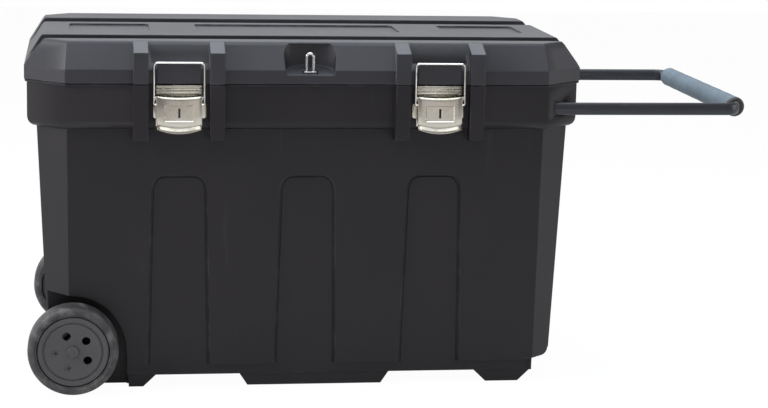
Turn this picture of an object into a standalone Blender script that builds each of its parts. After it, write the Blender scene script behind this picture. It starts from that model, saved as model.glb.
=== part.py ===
"""Rolling toolbox: a moulded job chest on two wheels, with a hinged lid and a pull handle.

Units are metres and +Z is up. The origin lies on the floor under the middle of the chest.
The latches are at the front (-Y), the wheels at the left end (-X) and the handle slides out
of the right end (+X).
"""

import math

import bmesh
import bpy
from mathutils import Matrix, Vector

# Chest outline at the lid's lip
CHEST_LENGTH = 0.960
CHEST_DEPTH = 0.550
CORNER_LENGTH = 0.069
CORNER_DEPTH = 0.064
CORNER_NARROWING_SHARE = 0.85

# Heights over the floor
TUB_BOTTOM = 0.021
LIP_HEIGHT = 0.535
LID_HEIGHT = 0.069

# Gaps and overruns
CLEARANCE = 0.0003
SEAM = 0.001
OVERRUN = 0.002
PLAY = 0.0008

# Tub walls
WALL = 0.0065
WALL_DRAFT_SHARE = 0.043
BAND_INSET = 0.0045
BAND_STEP = 0.016
BAND_HEIGHT = 0.079
FLANGE_INSET = 0.001
FLANGE_HEIGHT = 0.0040
FLANGE_EDGE = 0.0025
RIM_RISE = 0.0065
RIM_GAP = 0.001
RIM_WIDTH = 0.0195
END_CORNER_RADIUS = 0.012
END_CORNER_LIFT = 0.021
END_CORNER_LENGTH = 0.035

# Front and rear panels
PANEL_PITCH = 0.2196
PANEL_TOP_WIDTH = 0.049
PANEL_SHOULDER_WIDTH = 0.0885
PANEL_FOOT_WIDTH = 0.101
PANEL_TOP = 0.372
PANEL_SHOULDER_DROP = 0.025
PANEL_DEPTH = 0.0032
STRIP_TOP = 0.039
STRIP_SETBACK = 0.079

# Runners: centre, flat length, foot length on each side
RUNNER_MIDDLE_X = 0.0185
RUNNER_MIDDLE_FLAT = 0.235
RUNNER_LEFT_SETBACK = 0.1875
RUNNER_LEFT_FLAT = 0.025
RUNNER_RIGHT_SETBACK = 0.127
RUNNER_RIGHT_FLAT = 0.058
RUNNER_TOE = 0.014
RUNNER_LONG_TOE = 0.022
RUNNER_SETBACK = 0.0015
RUNNER_FOOT_START = 0.012
RUNNER_FOOT_LIFT = 0.001
RUNNER_FOOT_LAP = 0.004

# Ribs beside the latches
RIB_WIDTH = 0.025
RIB_OFFSET = 0.064
RIB_PROUD = 0.013
RIB_LOW_DROP = 0.0955
RIB_SHOULDER = 0.053
RIB_TOP_SETBACK = 0.0275
RIB_CORNER = 0.003

# Latches
LATCH_X = 0.2216
PLATE_THICKNESS = 0.0012
PLATE_HALF_WIDTH = 0.038
PLATE_HEIGHT = 0.0704
PLATE_LIP_GAP = 0.0006
BEAD_RADIUS = 0.0018
BEAD_PITCH = 0.0055
WING_REACH = 0.0085
WING_HEIGHT = 0.0260
WING_DROP = 0.0314
EAR_THICKNESS = 0.0012
EAR_RADIUS = 0.0042
LEVER_PIN_RADIUS = 0.0016
LEVER_PIN_DROP = 0.0224
LEVER_PIN_PROUD = 0.0070
LEVER_HALF_WIDTH = 0.0386
LEVER_SKIN = 0.0012
LEVER_RISE = 0.0046
LEVER_DROP = 0.0600
LEVER_BULGE = 0.0085
LEVER_LIP = 0.0115
LEVER_BACK = 0.0040
LEVER_SAG = 0.0055
POCKET_WIDTH = 0.050
POCKET_HEIGHT = 0.027
POCKET_DEPTH = 0.0020
POCKET_DROP = 0.0245
KEYWAY_WIDTH = 0.0035
KEYWAY_HEIGHT = 0.016
BAIL_RADIUS = 0.0016
BAIL_HALF_WIDTH = 0.0424
BAIL_CORNER = 0.006
BAIL_HEIGHT = 0.0697
BAIL_DROP = 0.010
BAIL_PROUD = 0.0040
BAIL_TIP = 0.0050
RIVET_RADIUS = 0.0021
RIVET_HEAD_RADIUS = 0.0038
RIVET_HEAD = 0.0010
RIVET_DEPTH = 0.009
RIVET_OFFSET = 0.020
RIVET_DROP = 0.030

# Keeper on the lid, in front of which the bail's top wire lies
KEEPER_HALF_WIDTH = 0.037
KEEPER_PROUD = 0.0015
KEEPER_RISE = 0.0338
NOTCH_HALF_WIDTH = 0.047
NOTCH_HEIGHT = 0.0180
NOTCH_DEPTH = 0.017

# Lid
SKIRT_HEIGHT = 0.023
SKIRT_WALL = 0.0045
SLOPE_INSET = 0.0335
SLOPE_EDGE_DROP = 0.0055
SLOPE_EDGE_SHARE = 0.75
LEDGE_INSET = 0.0240
LID_SKIN = 0.0060
LID_TOP_SKIN = 0.0075
GROOVE_DEPTH = 0.0085
GROOVE_SKIN = 0.0055
FRONT_GROOVE_SETBACK = 0.095
REAR_GROOVE_SETBACK = 0.1635
FRONT_GROOVE_WIDTH = 0.060
REAR_GROOVE_WIDTH = 0.073
TRAY_DEPTH = 0.0035
TRAY_Y = -0.015
TRAY_WIDTH = 0.120
TRAY_SIDE_SETBACK = 0.1455
TRAY_SIDE_LENGTH = 0.141
TRAY_MIDDLE_LENGTH = 0.362
TRAY_CORNER = 0.008

# Padlock recess in the lid, and the staple that stands in it
RECESS_HALF_WIDTH = 0.0410
RECESS_TOP_WIDENING = 0.0060
RECESS_SIDE_DEPTH = 0.013
RECESS_DEPTH = 0.035
RECESS_RISE = 0.015
RECESS_TOP_SKIN = 0.0035
RECESS_FLOOR_SLOPE_SHARE = 0.40
RECESS_WALL = 0.0045
STAPLE_INSET = 0.0130
STAPLE_ROD = 0.0025
STAPLE_HALF_WIDTH = 0.006
STAPLE_HEIGHT = 0.0325
STAPLE_PLATE = 0.002
STAPLE_PLATE_HALF_WIDTH = 0.011
STAPLE_PLATE_HALF_DEPTH = 0.0037
STAPLE_PAD_RISE = 0.0125
STAPLE_ROOT = 0.007
STAPLE_HOLE_FRONT = 0.0045
STAPLE_HOLE_SIDE = 0.0020

# Lid seal
SEAL_INSET = 0.0185
SEAL_WIDTH = 0.0040
SEAL_HEIGHT = 0.0030

# Hinges
HINGE_PITCH = 0.300
HINGE_BACK = 0.0085
HINGE_DROP = 0.0115
KNUCKLE_RADIUS = 0.0055
KNUCKLE_TUB_LENGTH = 0.016
KNUCKLE_LID_LENGTH = 0.024
HINGE_PIN_RADIUS = 0.0025
HINGE_ARM_RISE = 0.0285
HINGE_ARM_SHOULDER = 0.0175

# Wheels and axle
WHEEL_RADIUS = 0.077
WHEEL_WIDTH = 0.054
WHEEL_PROUD = 0.0135
WHEEL_SETBACK = 0.080
AXLE_RADIUS = 0.006
WASHER_RADIUS = 0.012
WASHER_THICKNESS = 0.002
CAP_RADIUS = 0.0097
CAP_RIM_RADIUS = 0.0072
CAP_SKIN = 0.0012
HUB_RADIUS = 0.061
HUB_RECESS = 0.004
HUB_DISC = 0.0045
HUB_RING_RADIUS = 0.049
HUB_RING_WIDTH = 0.0020
HUB_RING_DEPTH = 0.0012
HUB_RIM_WALL = 0.0070
HUB_GROOVE_DEPTH = 0.004
HUB_BOSS_RADIUS = 0.014
HUB_HOLE_RADIUS = 0.0073
HUB_HOLE_CIRCLE = 0.029
HUB_HOLE_COUNT = 5
HUB_OPEN_HOLES = 3
HUB_FIRST_HOLE_DEG = 112.0
HUB_BLIND_DEPTH = 0.0020
TYRE_SHOULDER = 0.009
WELL_GAP = 0.0145
WELL_TOP_GAP = 0.0105
WELL_RISE_SHARE = 0.08
WELL_CENTRE_DROP = 0.017
WELL_BOSS_RADIUS = 0.020
WELL_BOSS_LENGTH = 0.022
TUNNEL_HALF_WIDTH = 0.016

# Pull handle
BAR_HALF_THICKNESS = 0.0055
BAR_HALF_HEIGHT = 0.011
BAR_SETBACK = 0.0294
BAR_DROP = 0.045
BAR_BEND = 0.025
GRIP_REACH = 0.2823
GRIP_RADIUS = 0.0176
GRIP_LIFT = 0.0
GRIP_END_GAP = 0.0012
GRIP_EDGE = 0.003
CHANNEL_HALF_WIDTH = 0.011
CHANNEL_HALF_HEIGHT = 0.0135
CHANNEL_SKIN = 0.0035
CHANNEL_ROOF = 0.0065
GUIDE_LENGTH = 0.070
GUIDE_SETBACK = 0.0025
STOP_LENGTH = 0.020
STOP_LAP = 0.014
HANDLE_TRAVEL = 0.245
CHANNEL_END_GAP = 0.008

# Facets of round pieces
ROUND_FINE = 48
ROUND_MEDIUM = 24
ROUND_SMALL = 12
ARC_STEPS = 6

# Heights and planes that follow from the sizes above
HALF_LENGTH = CHEST_LENGTH / 2
HALF_DEPTH = CHEST_DEPTH / 2
STRIP_HALF_LENGTH = HALF_LENGTH - STRIP_SETBACK
RUNNER_LEFT_X = RUNNER_LEFT_SETBACK - HALF_LENGTH
RUNNER_RIGHT_X = HALF_LENGTH - RUNNER_RIGHT_SETBACK
WHEEL_OUTER_Y = HALF_DEPTH + WHEEL_PROUD
WHEEL_X = WHEEL_SETBACK - HALF_LENGTH
BAR_Y = HALF_DEPTH - BAR_SETBACK
GRIP_X = HALF_LENGTH + GRIP_REACH
FRONT_GROOVE = HALF_DEPTH - FRONT_GROOVE_SETBACK
REAR_GROOVE = HALF_DEPTH - REAR_GROOVE_SETBACK
TRAY_SIDE_X = HALF_LENGTH - TRAY_SIDE_SETBACK
SHELF = LIP_HEIGHT - SEAM
BAND_LOW = SHELF - BAND_HEIGHT
RIM_TOP = SHELF + RIM_RISE
RIM_INSET = SKIRT_WALL + RIM_GAP
LEDGE = RIM_TOP + SEAL_HEIGHT + 2 * CLEARANCE
LID_TOP = LIP_HEIGHT + LID_HEIGHT
SLOPE_START = LIP_HEIGHT + SKIRT_HEIGHT
BAND_FACE = HALF_DEPTH - BAND_INSET
BAR_HEIGHT = LIP_HEIGHT - BAR_DROP
CHANNEL_INNER = HALF_DEPTH - BAR_Y + CHANNEL_HALF_WIDTH + CHANNEL_SKIN

PLANES = {
    "XY": Matrix.Identity(4),
    "XZ": Matrix(((1, 0, 0, 0), (0, 0, 1, 0), (0, 1, 0, 0), (0, 0, 0, 1))),
    "YZ": Matrix(((0, 0, 1, 0), (1, 0, 0, 0), (0, 1, 0, 0), (0, 0, 0, 1))),
}

MERGE = 0.00001


# Scene and material helpers

def clear_scene():
    for item in list(bpy.data.objects):
        bpy.data.objects.remove(item, do_unlink=True)


def new_collection(name):
    collection = bpy.data.collections.new(name)
    bpy.context.scene.collection.children.link(collection)
    return collection


def new_material(name, colour, roughness, metallic=0.0):
    material = bpy.data.materials.new(name)
    material.use_nodes = True
    shader = material.node_tree.nodes["Principled BSDF"]
    shader.inputs["Base Color"].default_value = (*colour, 1.0)
    shader.inputs["Roughness"].default_value = roughness
    shader.inputs["Metallic"].default_value = metallic
    return material


# Shape helpers

def add_object(name, mesh, collection):
    item = bpy.data.objects.new(name, mesh)
    collection.objects.link(item)
    return item


def object_from(bm, name, collection):
    bmesh.ops.recalc_face_normals(bm, faces=bm.faces)
    mesh = bpy.data.meshes.new(name)
    bm.to_mesh(mesh)
    bm.free()
    return add_object(name, mesh, collection)


def evaluated_mesh(item):
    """The object's mesh with its curve bevel or modifiers worked in, doubles merged."""
    graph = bpy.context.evaluated_depsgraph_get()
    graph.update()
    mesh = bpy.data.meshes.new_from_object(item.evaluated_get(graph))
    mesh.transform(item.matrix_world)
    bm = bmesh.new()
    bm.from_mesh(mesh)
    bmesh.ops.remove_doubles(bm, verts=bm.verts, dist=MERGE)
    bmesh.ops.recalc_face_normals(bm, faces=bm.faces)
    bm.to_mesh(mesh)
    bm.free()
    return mesh


def box(name, low, high, collection=None):
    bm = bmesh.new()
    bmesh.ops.create_cube(bm, size=1.0)
    size = Vector(high) - Vector(low)
    middle = (Vector(high) + Vector(low)) / 2
    bmesh.ops.transform(bm, verts=bm.verts, matrix=Matrix.Translation(middle) @ Matrix.Diagonal((*size, 1)))
    return object_from(bm, name, collection or CUTTERS)


def cylinder(name, axis, centre, radius, low, high, facets=ROUND_MEDIUM, collection=None):
    """A cylinder along X, Y or Z, from low to high along that axis."""
    turn = {"X": Matrix.Rotation(math.pi / 2, 4, "Y"), "Y": Matrix.Rotation(math.pi / 2, 4, "X"),
            "Z": Matrix.Identity(4)}[axis]
    middle = Vector(centre)
    middle["XYZ".index(axis)] = (low + high) / 2
    bm = bmesh.new()
    bmesh.ops.create_cone(bm, cap_ends=True, segments=facets, radius1=radius, radius2=radius,
                          depth=high - low)
    bmesh.ops.transform(bm, verts=bm.verts, matrix=Matrix.Translation(middle) @ turn)
    return object_from(bm, name, collection or CUTTERS)


def prism(name, outline, plane, low, high, collection=None):
    """A flat outline drawn in the XY, XZ or YZ plane, as thick as from low to high."""
    curve = bpy.data.curves.new(name, "CURVE")
    curve.dimensions = "2D"
    curve.fill_mode = "BOTH"
    spline = curve.splines.new("POLY")
    spline.points.add(len(outline) - 1)
    for point, (across, up) in zip(spline.points, outline):
        point.co = (across, up, 0, 1)
    spline.use_cyclic_u = True
    curve.extrude = (high - low) / 2
    drawn = add_object(name + "_outline", curve, CUTTERS)
    mesh = evaluated_mesh(drawn)
    bpy.data.objects.remove(drawn, do_unlink=True)
    mesh.transform(PLANES[plane] @ Matrix.Translation((0, 0, (low + high) / 2)))
    bm = bmesh.new()
    bm.from_mesh(mesh)
    return object_from(bm, name, collection or CUTTERS)


def loft(name, rings, collection=None):
    """A closed skin over rings of equal counts, from the bottom ring to the top one."""
    bm = bmesh.new()
    rows = [[bm.verts.new(point) for point in ring] for ring in rings]
    for lower, upper in zip(rows, rows[1:]):
        for here in range(len(lower)):
            ahead = (here + 1) % len(lower)
            bm.faces.new((lower[here], lower[ahead], upper[ahead], upper[here]))
    bm.faces.new(list(reversed(rows[0])))
    bm.faces.new(rows[-1])
    return object_from(bm, name, collection or CUTTERS)


def turned(name, profile, axis_turn, place, facets, collection=None):
    """A closed profile of (radius, height) points, turned round an axis by a Screw modifier."""
    mesh = bpy.data.meshes.new(name)
    count = len(profile)
    mesh.from_pydata([(radius, 0, height) for radius, height in profile],
                     [(here, (here + 1) % count) for here in range(count)], [])
    item = add_object(name, mesh, collection or CUTTERS)
    screw = item.modifiers.new("turn", "SCREW")
    screw.steps = facets
    screw.render_steps = facets
    screw.use_merge_vertices = True
    screw.merge_threshold = MERGE
    item.rotation_euler = axis_turn
    item.location = place
    bpy.context.view_layer.update()
    return bake(item)


def bent_rod(name, points, radius, resolution, closed=False, stretch=(1, 1, 1), collection=None):
    """A round rod along points, or a flat-oval one where stretch is not even."""
    curve = bpy.data.curves.new(name, "CURVE")
    curve.dimensions = "3D"
    curve.bevel_depth = radius
    curve.bevel_resolution = resolution
    curve.use_fill_caps = not closed
    spline = curve.splines.new("POLY")
    spline.points.add(len(points) - 1)
    for point, place in zip(spline.points, points):
        point.co = (*(value / factor for value, factor in zip(place, stretch)), 1)
    spline.use_cyclic_u = closed
    drawn = add_object(name + "_path", curve, CUTTERS)
    drawn.scale = stretch
    bpy.context.view_layer.update()
    mesh = evaluated_mesh(drawn)
    bpy.data.objects.remove(drawn, do_unlink=True)
    return add_object(name, mesh, collection or CUTTERS)


def combine(target, operation, *others):
    for other in others:
        step = target.modifiers.new(operation.lower(), "BOOLEAN")
        step.operation = operation
        step.solver = "EXACT"
        step.object = other
        other.hide_render = True
        other.display_type = "WIRE"
    return target


def gather(name, *items):
    """Several pieces that stand apart, as one object."""
    bm = bmesh.new()
    for item in items:
        bm.from_mesh(evaluated_mesh(item))
        bpy.data.objects.remove(item, do_unlink=True)
    return object_from(bm, name, CUTTERS)


def join(target, *others):
    return combine(target, "UNION", *others)


def cut(target, *others):
    return combine(target, "DIFFERENCE", *others)


def bake(item):
    """Work the modifiers and the placing into the mesh, so that copies can share it."""
    mesh = evaluated_mesh(item)
    item.modifiers.clear()
    item.data = mesh
    item.matrix_world = Matrix.Identity(4)
    return item


def set_origin(item, point):
    """Put the object's own origin on a point, such as its joint's axis."""
    item.data.transform(Matrix.Translation(-Vector(point)))
    item.location = point
    return item


def part(item, name, material, smooth_deg=30.0):
    """Name a finished piece, dress it and move it to the toolbox's collection."""
    item.name = name
    item.data.name = name
    item.data.materials.clear()
    item.data.materials.append(material)
    if not item.modifiers:
        item.data.shade_smooth()
        item.data.set_sharp_from_angle(angle=math.radians(smooth_deg))
    for collection in list(item.users_collection):
        collection.objects.unlink(item)
    PARTS.objects.link(item)
    item.hide_render = False
    item.display_type = "TEXTURED"
    return item


def copy_of(item, name, matrix, origin=None):
    """Another of a repeated piece, carried by matrix, with its own mesh."""
    mesh = item.data.copy()
    mesh.transform(matrix @ item.matrix_world)
    if matrix.determinant() < 0:
        mesh.flip_normals()
    twin = add_object(name, mesh, PARTS)
    if origin is not None:
        set_origin(twin, origin)
    return twin


MIRROR_Y = Matrix.Diagonal((1, -1, 1, 1))


def arc(centre, radius, start_deg, end_deg, steps=ARC_STEPS, radius_up=None):
    """Points of a circular or elliptical arc in a flat plane."""
    tall = radius if radius_up is None else radius_up
    points = []
    for step in range(steps + 1):
        angle = math.radians(start_deg + (end_deg - start_deg) * step / steps)
        points.append((centre[0] + radius * math.cos(angle), centre[1] + tall * math.sin(angle)))
    return points


def chest_ring(height, inset):
    """The chest's outline, a rectangle with cut corners, drawn in by inset."""
    half_x = HALF_LENGTH - inset
    half_y = HALF_DEPTH - inset
    corner_share = 1 - 2 * CORNER_NARROWING_SHARE * inset / (CORNER_LENGTH + CORNER_DEPTH)
    cut_x = CORNER_LENGTH * corner_share
    cut_y = CORNER_DEPTH * corner_share
    corners = [(half_x, half_y - cut_y), (half_x - cut_x, half_y), (cut_x - half_x, half_y),
               (-half_x, half_y - cut_y), (-half_x, cut_y - half_y), (cut_x - half_x, -half_y),
               (half_x - cut_x, -half_y), (half_x, cut_y - half_y)]
    return [(x, y, height) for x, y in corners]


def wall_inset(height):
    """How far the drafted wall lies inside the lip, at a height below the band."""
    return BAND_INSET + BAND_STEP + WALL_DRAFT_SHARE * (BAND_LOW - height)


# Tub

def tub_outside():
    profile = [(TUB_BOTTOM, wall_inset(TUB_BOTTOM))]
    for inset, height in arc((BAND_INSET + BAND_STEP, BAND_LOW + BAND_STEP), BAND_STEP, 270, 180, 4):
        profile.append((height, inset))
    profile += [(SHELF - FLANGE_HEIGHT, BAND_INSET), (SHELF - FLANGE_EDGE, FLANGE_INSET),
                (SHELF, FLANGE_INSET), (SHELF, RIM_INSET), (RIM_TOP, RIM_INSET)]
    return loft("tub", [chest_ring(height, inset) for height, inset in profile])


def well_outline(grow):
    """The wheel well's outline from the front: an arch that runs out through the end."""
    reach = WHEEL_RADIUS + WELL_GAP + grow
    centre = (WHEEL_X, WHEEL_RADIUS - WELL_CENTRE_DROP)
    top = WHEEL_RADIUS * 2 + WELL_TOP_GAP + grow
    out = -HALF_LENGTH - BAND_STEP
    crown = arc(centre, reach, 0, 90, ARC_STEPS * 2, top - centre[1])
    end = (out, top + WELL_RISE_SHARE * (WHEEL_X - out))
    return [(out, -TUB_BOTTOM), (crown[0][0], -TUB_BOTTOM)] + crown + [end]


def well_boss_y():
    """Where the boss round the axle ends: the washer lies between it and the hub."""
    return WHEEL_OUTER_Y - hub_depth() - WASHER_THICKNESS - 2 * CLEARANCE


def well_floor_y():
    """Where the well's flat inner wall stands, deep enough to run out through the cut corner."""
    return well_boss_y() - WELL_BOSS_LENGTH


def tub_inside():
    ledge = BAR_HEIGHT - CHANNEL_HALF_HEIGHT
    roof = BAR_HEIGHT + CHANNEL_HALF_HEIGHT + CHANNEL_ROOF
    floor = TUB_BOTTOM + WALL
    profile = [(floor, wall_inset(floor) + WALL), (BAND_LOW, wall_inset(BAND_LOW) + WALL),
               (ledge - WALL, CHANNEL_INNER), (roof, CHANNEL_INNER),
               (roof, RIM_INSET + RIM_WIDTH), (RIM_TOP + OVERRUN, RIM_INSET + RIM_WIDTH)]
    inside = loft("tub_inside", [chest_ring(height, inset) for height, inset in profile])
    for side in (-1, 1):
        near, far = sorted((side * (well_floor_y() - WALL), side * HALF_DEPTH))
        cut(inside, prism("well_boss", well_outline(WALL), "XZ", near, far))
    cut(inside, end_corner(1, WALL), end_corner(-1, WALL))
    tunnel_top = WHEEL_RADIUS
    tunnel = [(WHEEL_X - TUNNEL_HALF_WIDTH, 0), (WHEEL_X + TUNNEL_HALF_WIDTH, 0)]
    tunnel += arc((WHEEL_X, tunnel_top), TUNNEL_HALF_WIDTH, 0, 180)
    cut(inside, prism("axle_tunnel", tunnel, "XZ", -HALF_DEPTH, HALF_DEPTH))
    return inside


def panel_outline(centre):
    """One arched panel, from its left foot over its top to its right foot."""
    half_top = PANEL_TOP_WIDTH / 2
    half_shoulder = PANEL_SHOULDER_WIDTH / 2
    half_foot = PANEL_FOOT_WIDTH / 2
    shoulder = PANEL_TOP - PANEL_SHOULDER_DROP
    right = arc((half_top, shoulder), half_shoulder - half_top, 90, 0, 4, PANEL_SHOULDER_DROP)
    left = [(-x, z) for x, z in reversed(right)]
    outline = [(-half_foot, STRIP_TOP)] + left + right + [(half_foot, STRIP_TOP)]
    return [(centre + x, z) for x, z in outline]


def wall_marks():
    """Three arched panels over a strip along their feet, on the front and on the rear."""
    outline = [(-STRIP_HALF_LENGTH, STRIP_TOP)]
    for column in (-1, 0, 1):
        outline += panel_outline(column * PANEL_PITCH)
    outline += [(STRIP_HALF_LENGTH, STRIP_TOP), (STRIP_HALF_LENGTH, -TUB_BOTTOM),
                (-STRIP_HALF_LENGTH, -TUB_BOTTOM)]
    lean = Matrix.Rotation(math.atan(WALL_DRAFT_SHARE), 4, "X")
    place = Matrix.Translation((0, wall_inset(0) - HALF_DEPTH, 0)) @ lean
    front = prism("wall_marks", outline, "XZ", -BAND_STEP, PANEL_DEPTH)
    front.data.transform(place)
    rear = add_object("wall_marks_rear", front.data.copy(), CUTTERS)
    rear.data.transform(MIRROR_Y)
    rear.data.flip_normals()
    return [front, rear]


def runner(name, middle, flat, left_toe, right_toe):
    """A full-depth runner under the tub, with sloping toes."""
    half_y = HALF_DEPTH - wall_inset(TUB_BOTTOM) - PANEL_DEPTH - RUNNER_SETBACK
    left, right = middle - flat / 2, middle + flat / 2
    outline = [(left, 0), (right, 0), (right + right_toe, TUB_BOTTOM), (right + right_toe, TUB_BOTTOM + OVERRUN),
               (left - left_toe, TUB_BOTTOM + OVERRUN), (left - left_toe, TUB_BOTTOM)]
    return prism(name, outline, "XZ", -half_y, half_y)


def runner_foot():
    """The left runner's reach between the wheels, under the walls that carry the axle."""
    half_y = well_floor_y() + RUNNER_FOOT_LAP
    start = WHEEL_X + RUNNER_FOOT_START
    top = TUB_BOTTOM + OVERRUN / 2
    outline = [(start, RUNNER_FOOT_LIFT + RUNNER_TOE), (start + RUNNER_TOE, RUNNER_FOOT_LIFT),
               (RUNNER_LEFT_X, RUNNER_FOOT_LIFT), (RUNNER_LEFT_X, top), (start, top)]
    return prism("runner_foot", outline, "XZ", -half_y, half_y)


def end_corner(side, grow=0.0):
    """The rounded step that takes away the tub's bottom corner at one end."""
    wall_x = HALF_LENGTH - wall_inset(TUB_BOTTOM)
    level = TUB_BOTTOM + END_CORNER_LIFT
    centre = (wall_x - END_CORNER_RADIUS, level + END_CORNER_RADIUS)
    start = wall_x - END_CORNER_LENGTH - grow
    outline = [(start, 0), (start, level + grow)] + arc(centre, END_CORNER_RADIUS - grow, 270, 360)
    outline += [(wall_x + BAND_STEP, centre[1]), (wall_x + BAND_STEP, 0)]
    return prism("end_corner", [(side * x, z) for x, z in outline], "XZ", -HALF_DEPTH, HALF_DEPTH)


def latch_centres():
    return {"left": -LATCH_X, "right": LATCH_X}


def rib_centres():
    return [centre + side * RIB_OFFSET for centre in latch_centres().values() for side in (-1, 1)]


def tub_ribs():
    ribs = []
    front = -HALF_DEPTH - RIB_PROUD
    back = -HALF_DEPTH + BAND_INSET + BAND_STEP
    low = SHELF - RIB_LOW_DROP
    outline = [(front, SHELF - CLEARANCE), (front, low + RIB_CORNER), (front + RIB_CORNER, low),
               (back, low), (back, SHELF - CLEARANCE)]
    for centre in rib_centres():
        ribs.append(prism("tub_rib", outline, "YZ", centre - RIB_WIDTH / 2, centre + RIB_WIDTH / 2))
    return ribs


def hinge_centres():
    return {"left": -HINGE_PITCH, "middle": 0.0, "right": HINGE_PITCH}


HINGE_Y = HALF_DEPTH + HINGE_BACK
HINGE_Z = LIP_HEIGHT - HINGE_DROP


def tub_knuckles():
    knuckles = []
    start = KNUCKLE_LID_LENGTH / 2 + CLEARANCE
    for centre in hinge_centres().values():
        for side in (-1, 1):
            low, high = sorted((centre + side * start, centre + side * (start + KNUCKLE_TUB_LENGTH)))
            web = [(BAND_FACE - OVERRUN, HINGE_Z - KNUCKLE_RADIUS * 2), (HINGE_Y, HINGE_Z - KNUCKLE_RADIUS)]
            web += arc((HINGE_Y, HINGE_Z), KNUCKLE_RADIUS, -90, 90, ARC_STEPS * 2)[1:]
            web += [(BAND_FACE - OVERRUN, HINGE_Z + KNUCKLE_RADIUS)]
            knuckles.append(prism("tub_knuckle", web, "YZ", low, high))
    return knuckles


def hinge_bore(reach):
    return cylinder("hinge_bore", "X", (0, HINGE_Y, HINGE_Z), HINGE_PIN_RADIUS + CLEARANCE,
                    -reach, reach, ROUND_SMALL)


def stop_inner_x():
    """The inner end of the handle stops when the handle is pulled out."""
    return mouth_x() - GUIDE_LENGTH - CLEARANCE - STOP_LENGTH


def mouth_x():
    """Where a bar's middle line leaves the cut corner of the band."""
    corner = chest_ring(0, BAND_INSET)
    (far_x, far_y, _), (near_x, near_y, _) = corner[7], corner[6]
    share = (-BAR_Y - near_y) / (far_y - near_y)
    return near_x + share * (far_x - near_x)


def channel(side):
    """The bore in which a bar slides with its stop."""
    inner = stop_inner_x() - HANDLE_TRAVEL - CHANNEL_END_GAP
    low = side * BAR_Y - CHANNEL_HALF_WIDTH
    high = side * BAR_Y + CHANNEL_HALF_WIDTH
    return box("channel", (inner, low, BAR_HEIGHT - CHANNEL_HALF_HEIGHT),
               (HALF_LENGTH, high, BAR_HEIGHT + CHANNEL_HALF_HEIGHT))


STAPLE_Y = STAPLE_INSET - HALF_DEPTH
PAD_TOP = RIM_TOP + STAPLE_PAD_RISE


def staple_legs(name, radius, low):
    """The staple's bent rod: two legs and a round top."""
    crown = PAD_TOP + CLEARANCE + STAPLE_PLATE + STAPLE_HEIGHT - STAPLE_ROD - STAPLE_HALF_WIDTH
    bow = [(x, STAPLE_Y, z) for x, z in arc((0, crown), STAPLE_HALF_WIDTH, 180, 0, ARC_STEPS * 2)]
    points = [(-STAPLE_HALF_WIDTH, STAPLE_Y, low)] + bow + [(STAPLE_HALF_WIDTH, STAPLE_Y, low)]
    return bent_rod(name, points, radius, 2)


def rivet_places():
    top = SHELF - PLATE_LIP_GAP
    return [(side * RIVET_OFFSET, top - LEVER_PIN_DROP - RIVET_DROP) for side in (-1, 1)]


def latch_bays():
    """The gaps in the flange behind the latch plates."""
    reach = RIB_OFFSET - RIB_WIDTH / 2 - CLEARANCE
    return [box("latch_bay", (centre - reach, -HALF_DEPTH - RIB_PROUD, BAND_LOW + BAND_STEP + OVERRUN),
                (centre + reach, -BAND_FACE, SHELF + OVERRUN)) for centre in latch_centres().values()]


def tub_bores():
    """The bores for rivets, axle, staple and hinge pins."""
    bores = [hinge_bore(HALF_LENGTH),
             cylinder("axle_bore", "Y", (WHEEL_X, 0, WHEEL_RADIUS), AXLE_RADIUS + CLEARANCE,
                      -HALF_DEPTH - OVERRUN * 2, HALF_DEPTH + OVERRUN * 2)]
    for centre in latch_centres().values():
        for across, height in rivet_places():
            bores.append(cylinder("rivet_hole", "Y", (centre + across, 0, height), RIVET_RADIUS + CLEARANCE,
                                  -BAND_FACE - OVERRUN, -BAND_FACE + RIVET_DEPTH + CLEARANCE, ROUND_SMALL))
    for side in (-1, 1):
        bores.append(cylinder("staple_bore", "Z", (side * STAPLE_HALF_WIDTH, STAPLE_Y, 0),
                              STAPLE_ROD + CLEARANCE, PAD_TOP - STAPLE_ROOT, PAD_TOP + OVERRUN, ROUND_SMALL))
    return bores


def wells():
    cutters = []
    for side in (-1, 1):
        near, far = sorted((side * well_floor_y(), side * (HALF_DEPTH + OVERRUN)))
        well = prism("well", well_outline(0), "XZ", near, far)
        low, high = sorted((side * (well_floor_y() - OVERRUN), side * well_boss_y()))
        boss = cylinder("axle_boss", "Y", (WHEEL_X, 0, WHEEL_RADIUS), WELL_BOSS_RADIUS, low, high)
        cutters.append(cut(well, boss))
    return cutters


def make_tub():
    tub = tub_outside()
    middle = runner("runner_middle", RUNNER_MIDDLE_X, RUNNER_MIDDLE_FLAT, RUNNER_TOE, RUNNER_TOE)
    left = runner("runner_left", RUNNER_LEFT_X, RUNNER_LEFT_FLAT, RUNNER_SETBACK, RUNNER_LONG_TOE)
    join(left, runner_foot())
    right = runner("runner_right", RUNNER_RIGHT_X, RUNNER_RIGHT_FLAT, RUNNER_LONG_TOE, RUNNER_LONG_TOE)
    pad = box("staple_pad", (-STAPLE_PLATE_HALF_WIDTH, STAPLE_Y - STAPLE_PLATE_HALF_DEPTH, RIM_TOP - OVERRUN),
              (STAPLE_PLATE_HALF_WIDTH, STAPLE_Y + STAPLE_PLATE_HALF_DEPTH, PAD_TOP))
    cut(tub, gather("wall_marks", *wall_marks()))
    join(tub, gather("tub_additions", middle, left, right, pad, *tub_ribs(), *tub_knuckles()))
    cut(tub, gather("latch_bays", *latch_bays()), tub_inside())
    cut(tub, gather("ends", end_corner(1), end_corner(-1), channel(-1), channel(1)))
    cut(tub, gather("wells", *wells()), gather("tub_bores", *tub_bores()))
    return part(tub, "tub", BLACK_PLASTIC)


# Padlock staple

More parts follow.
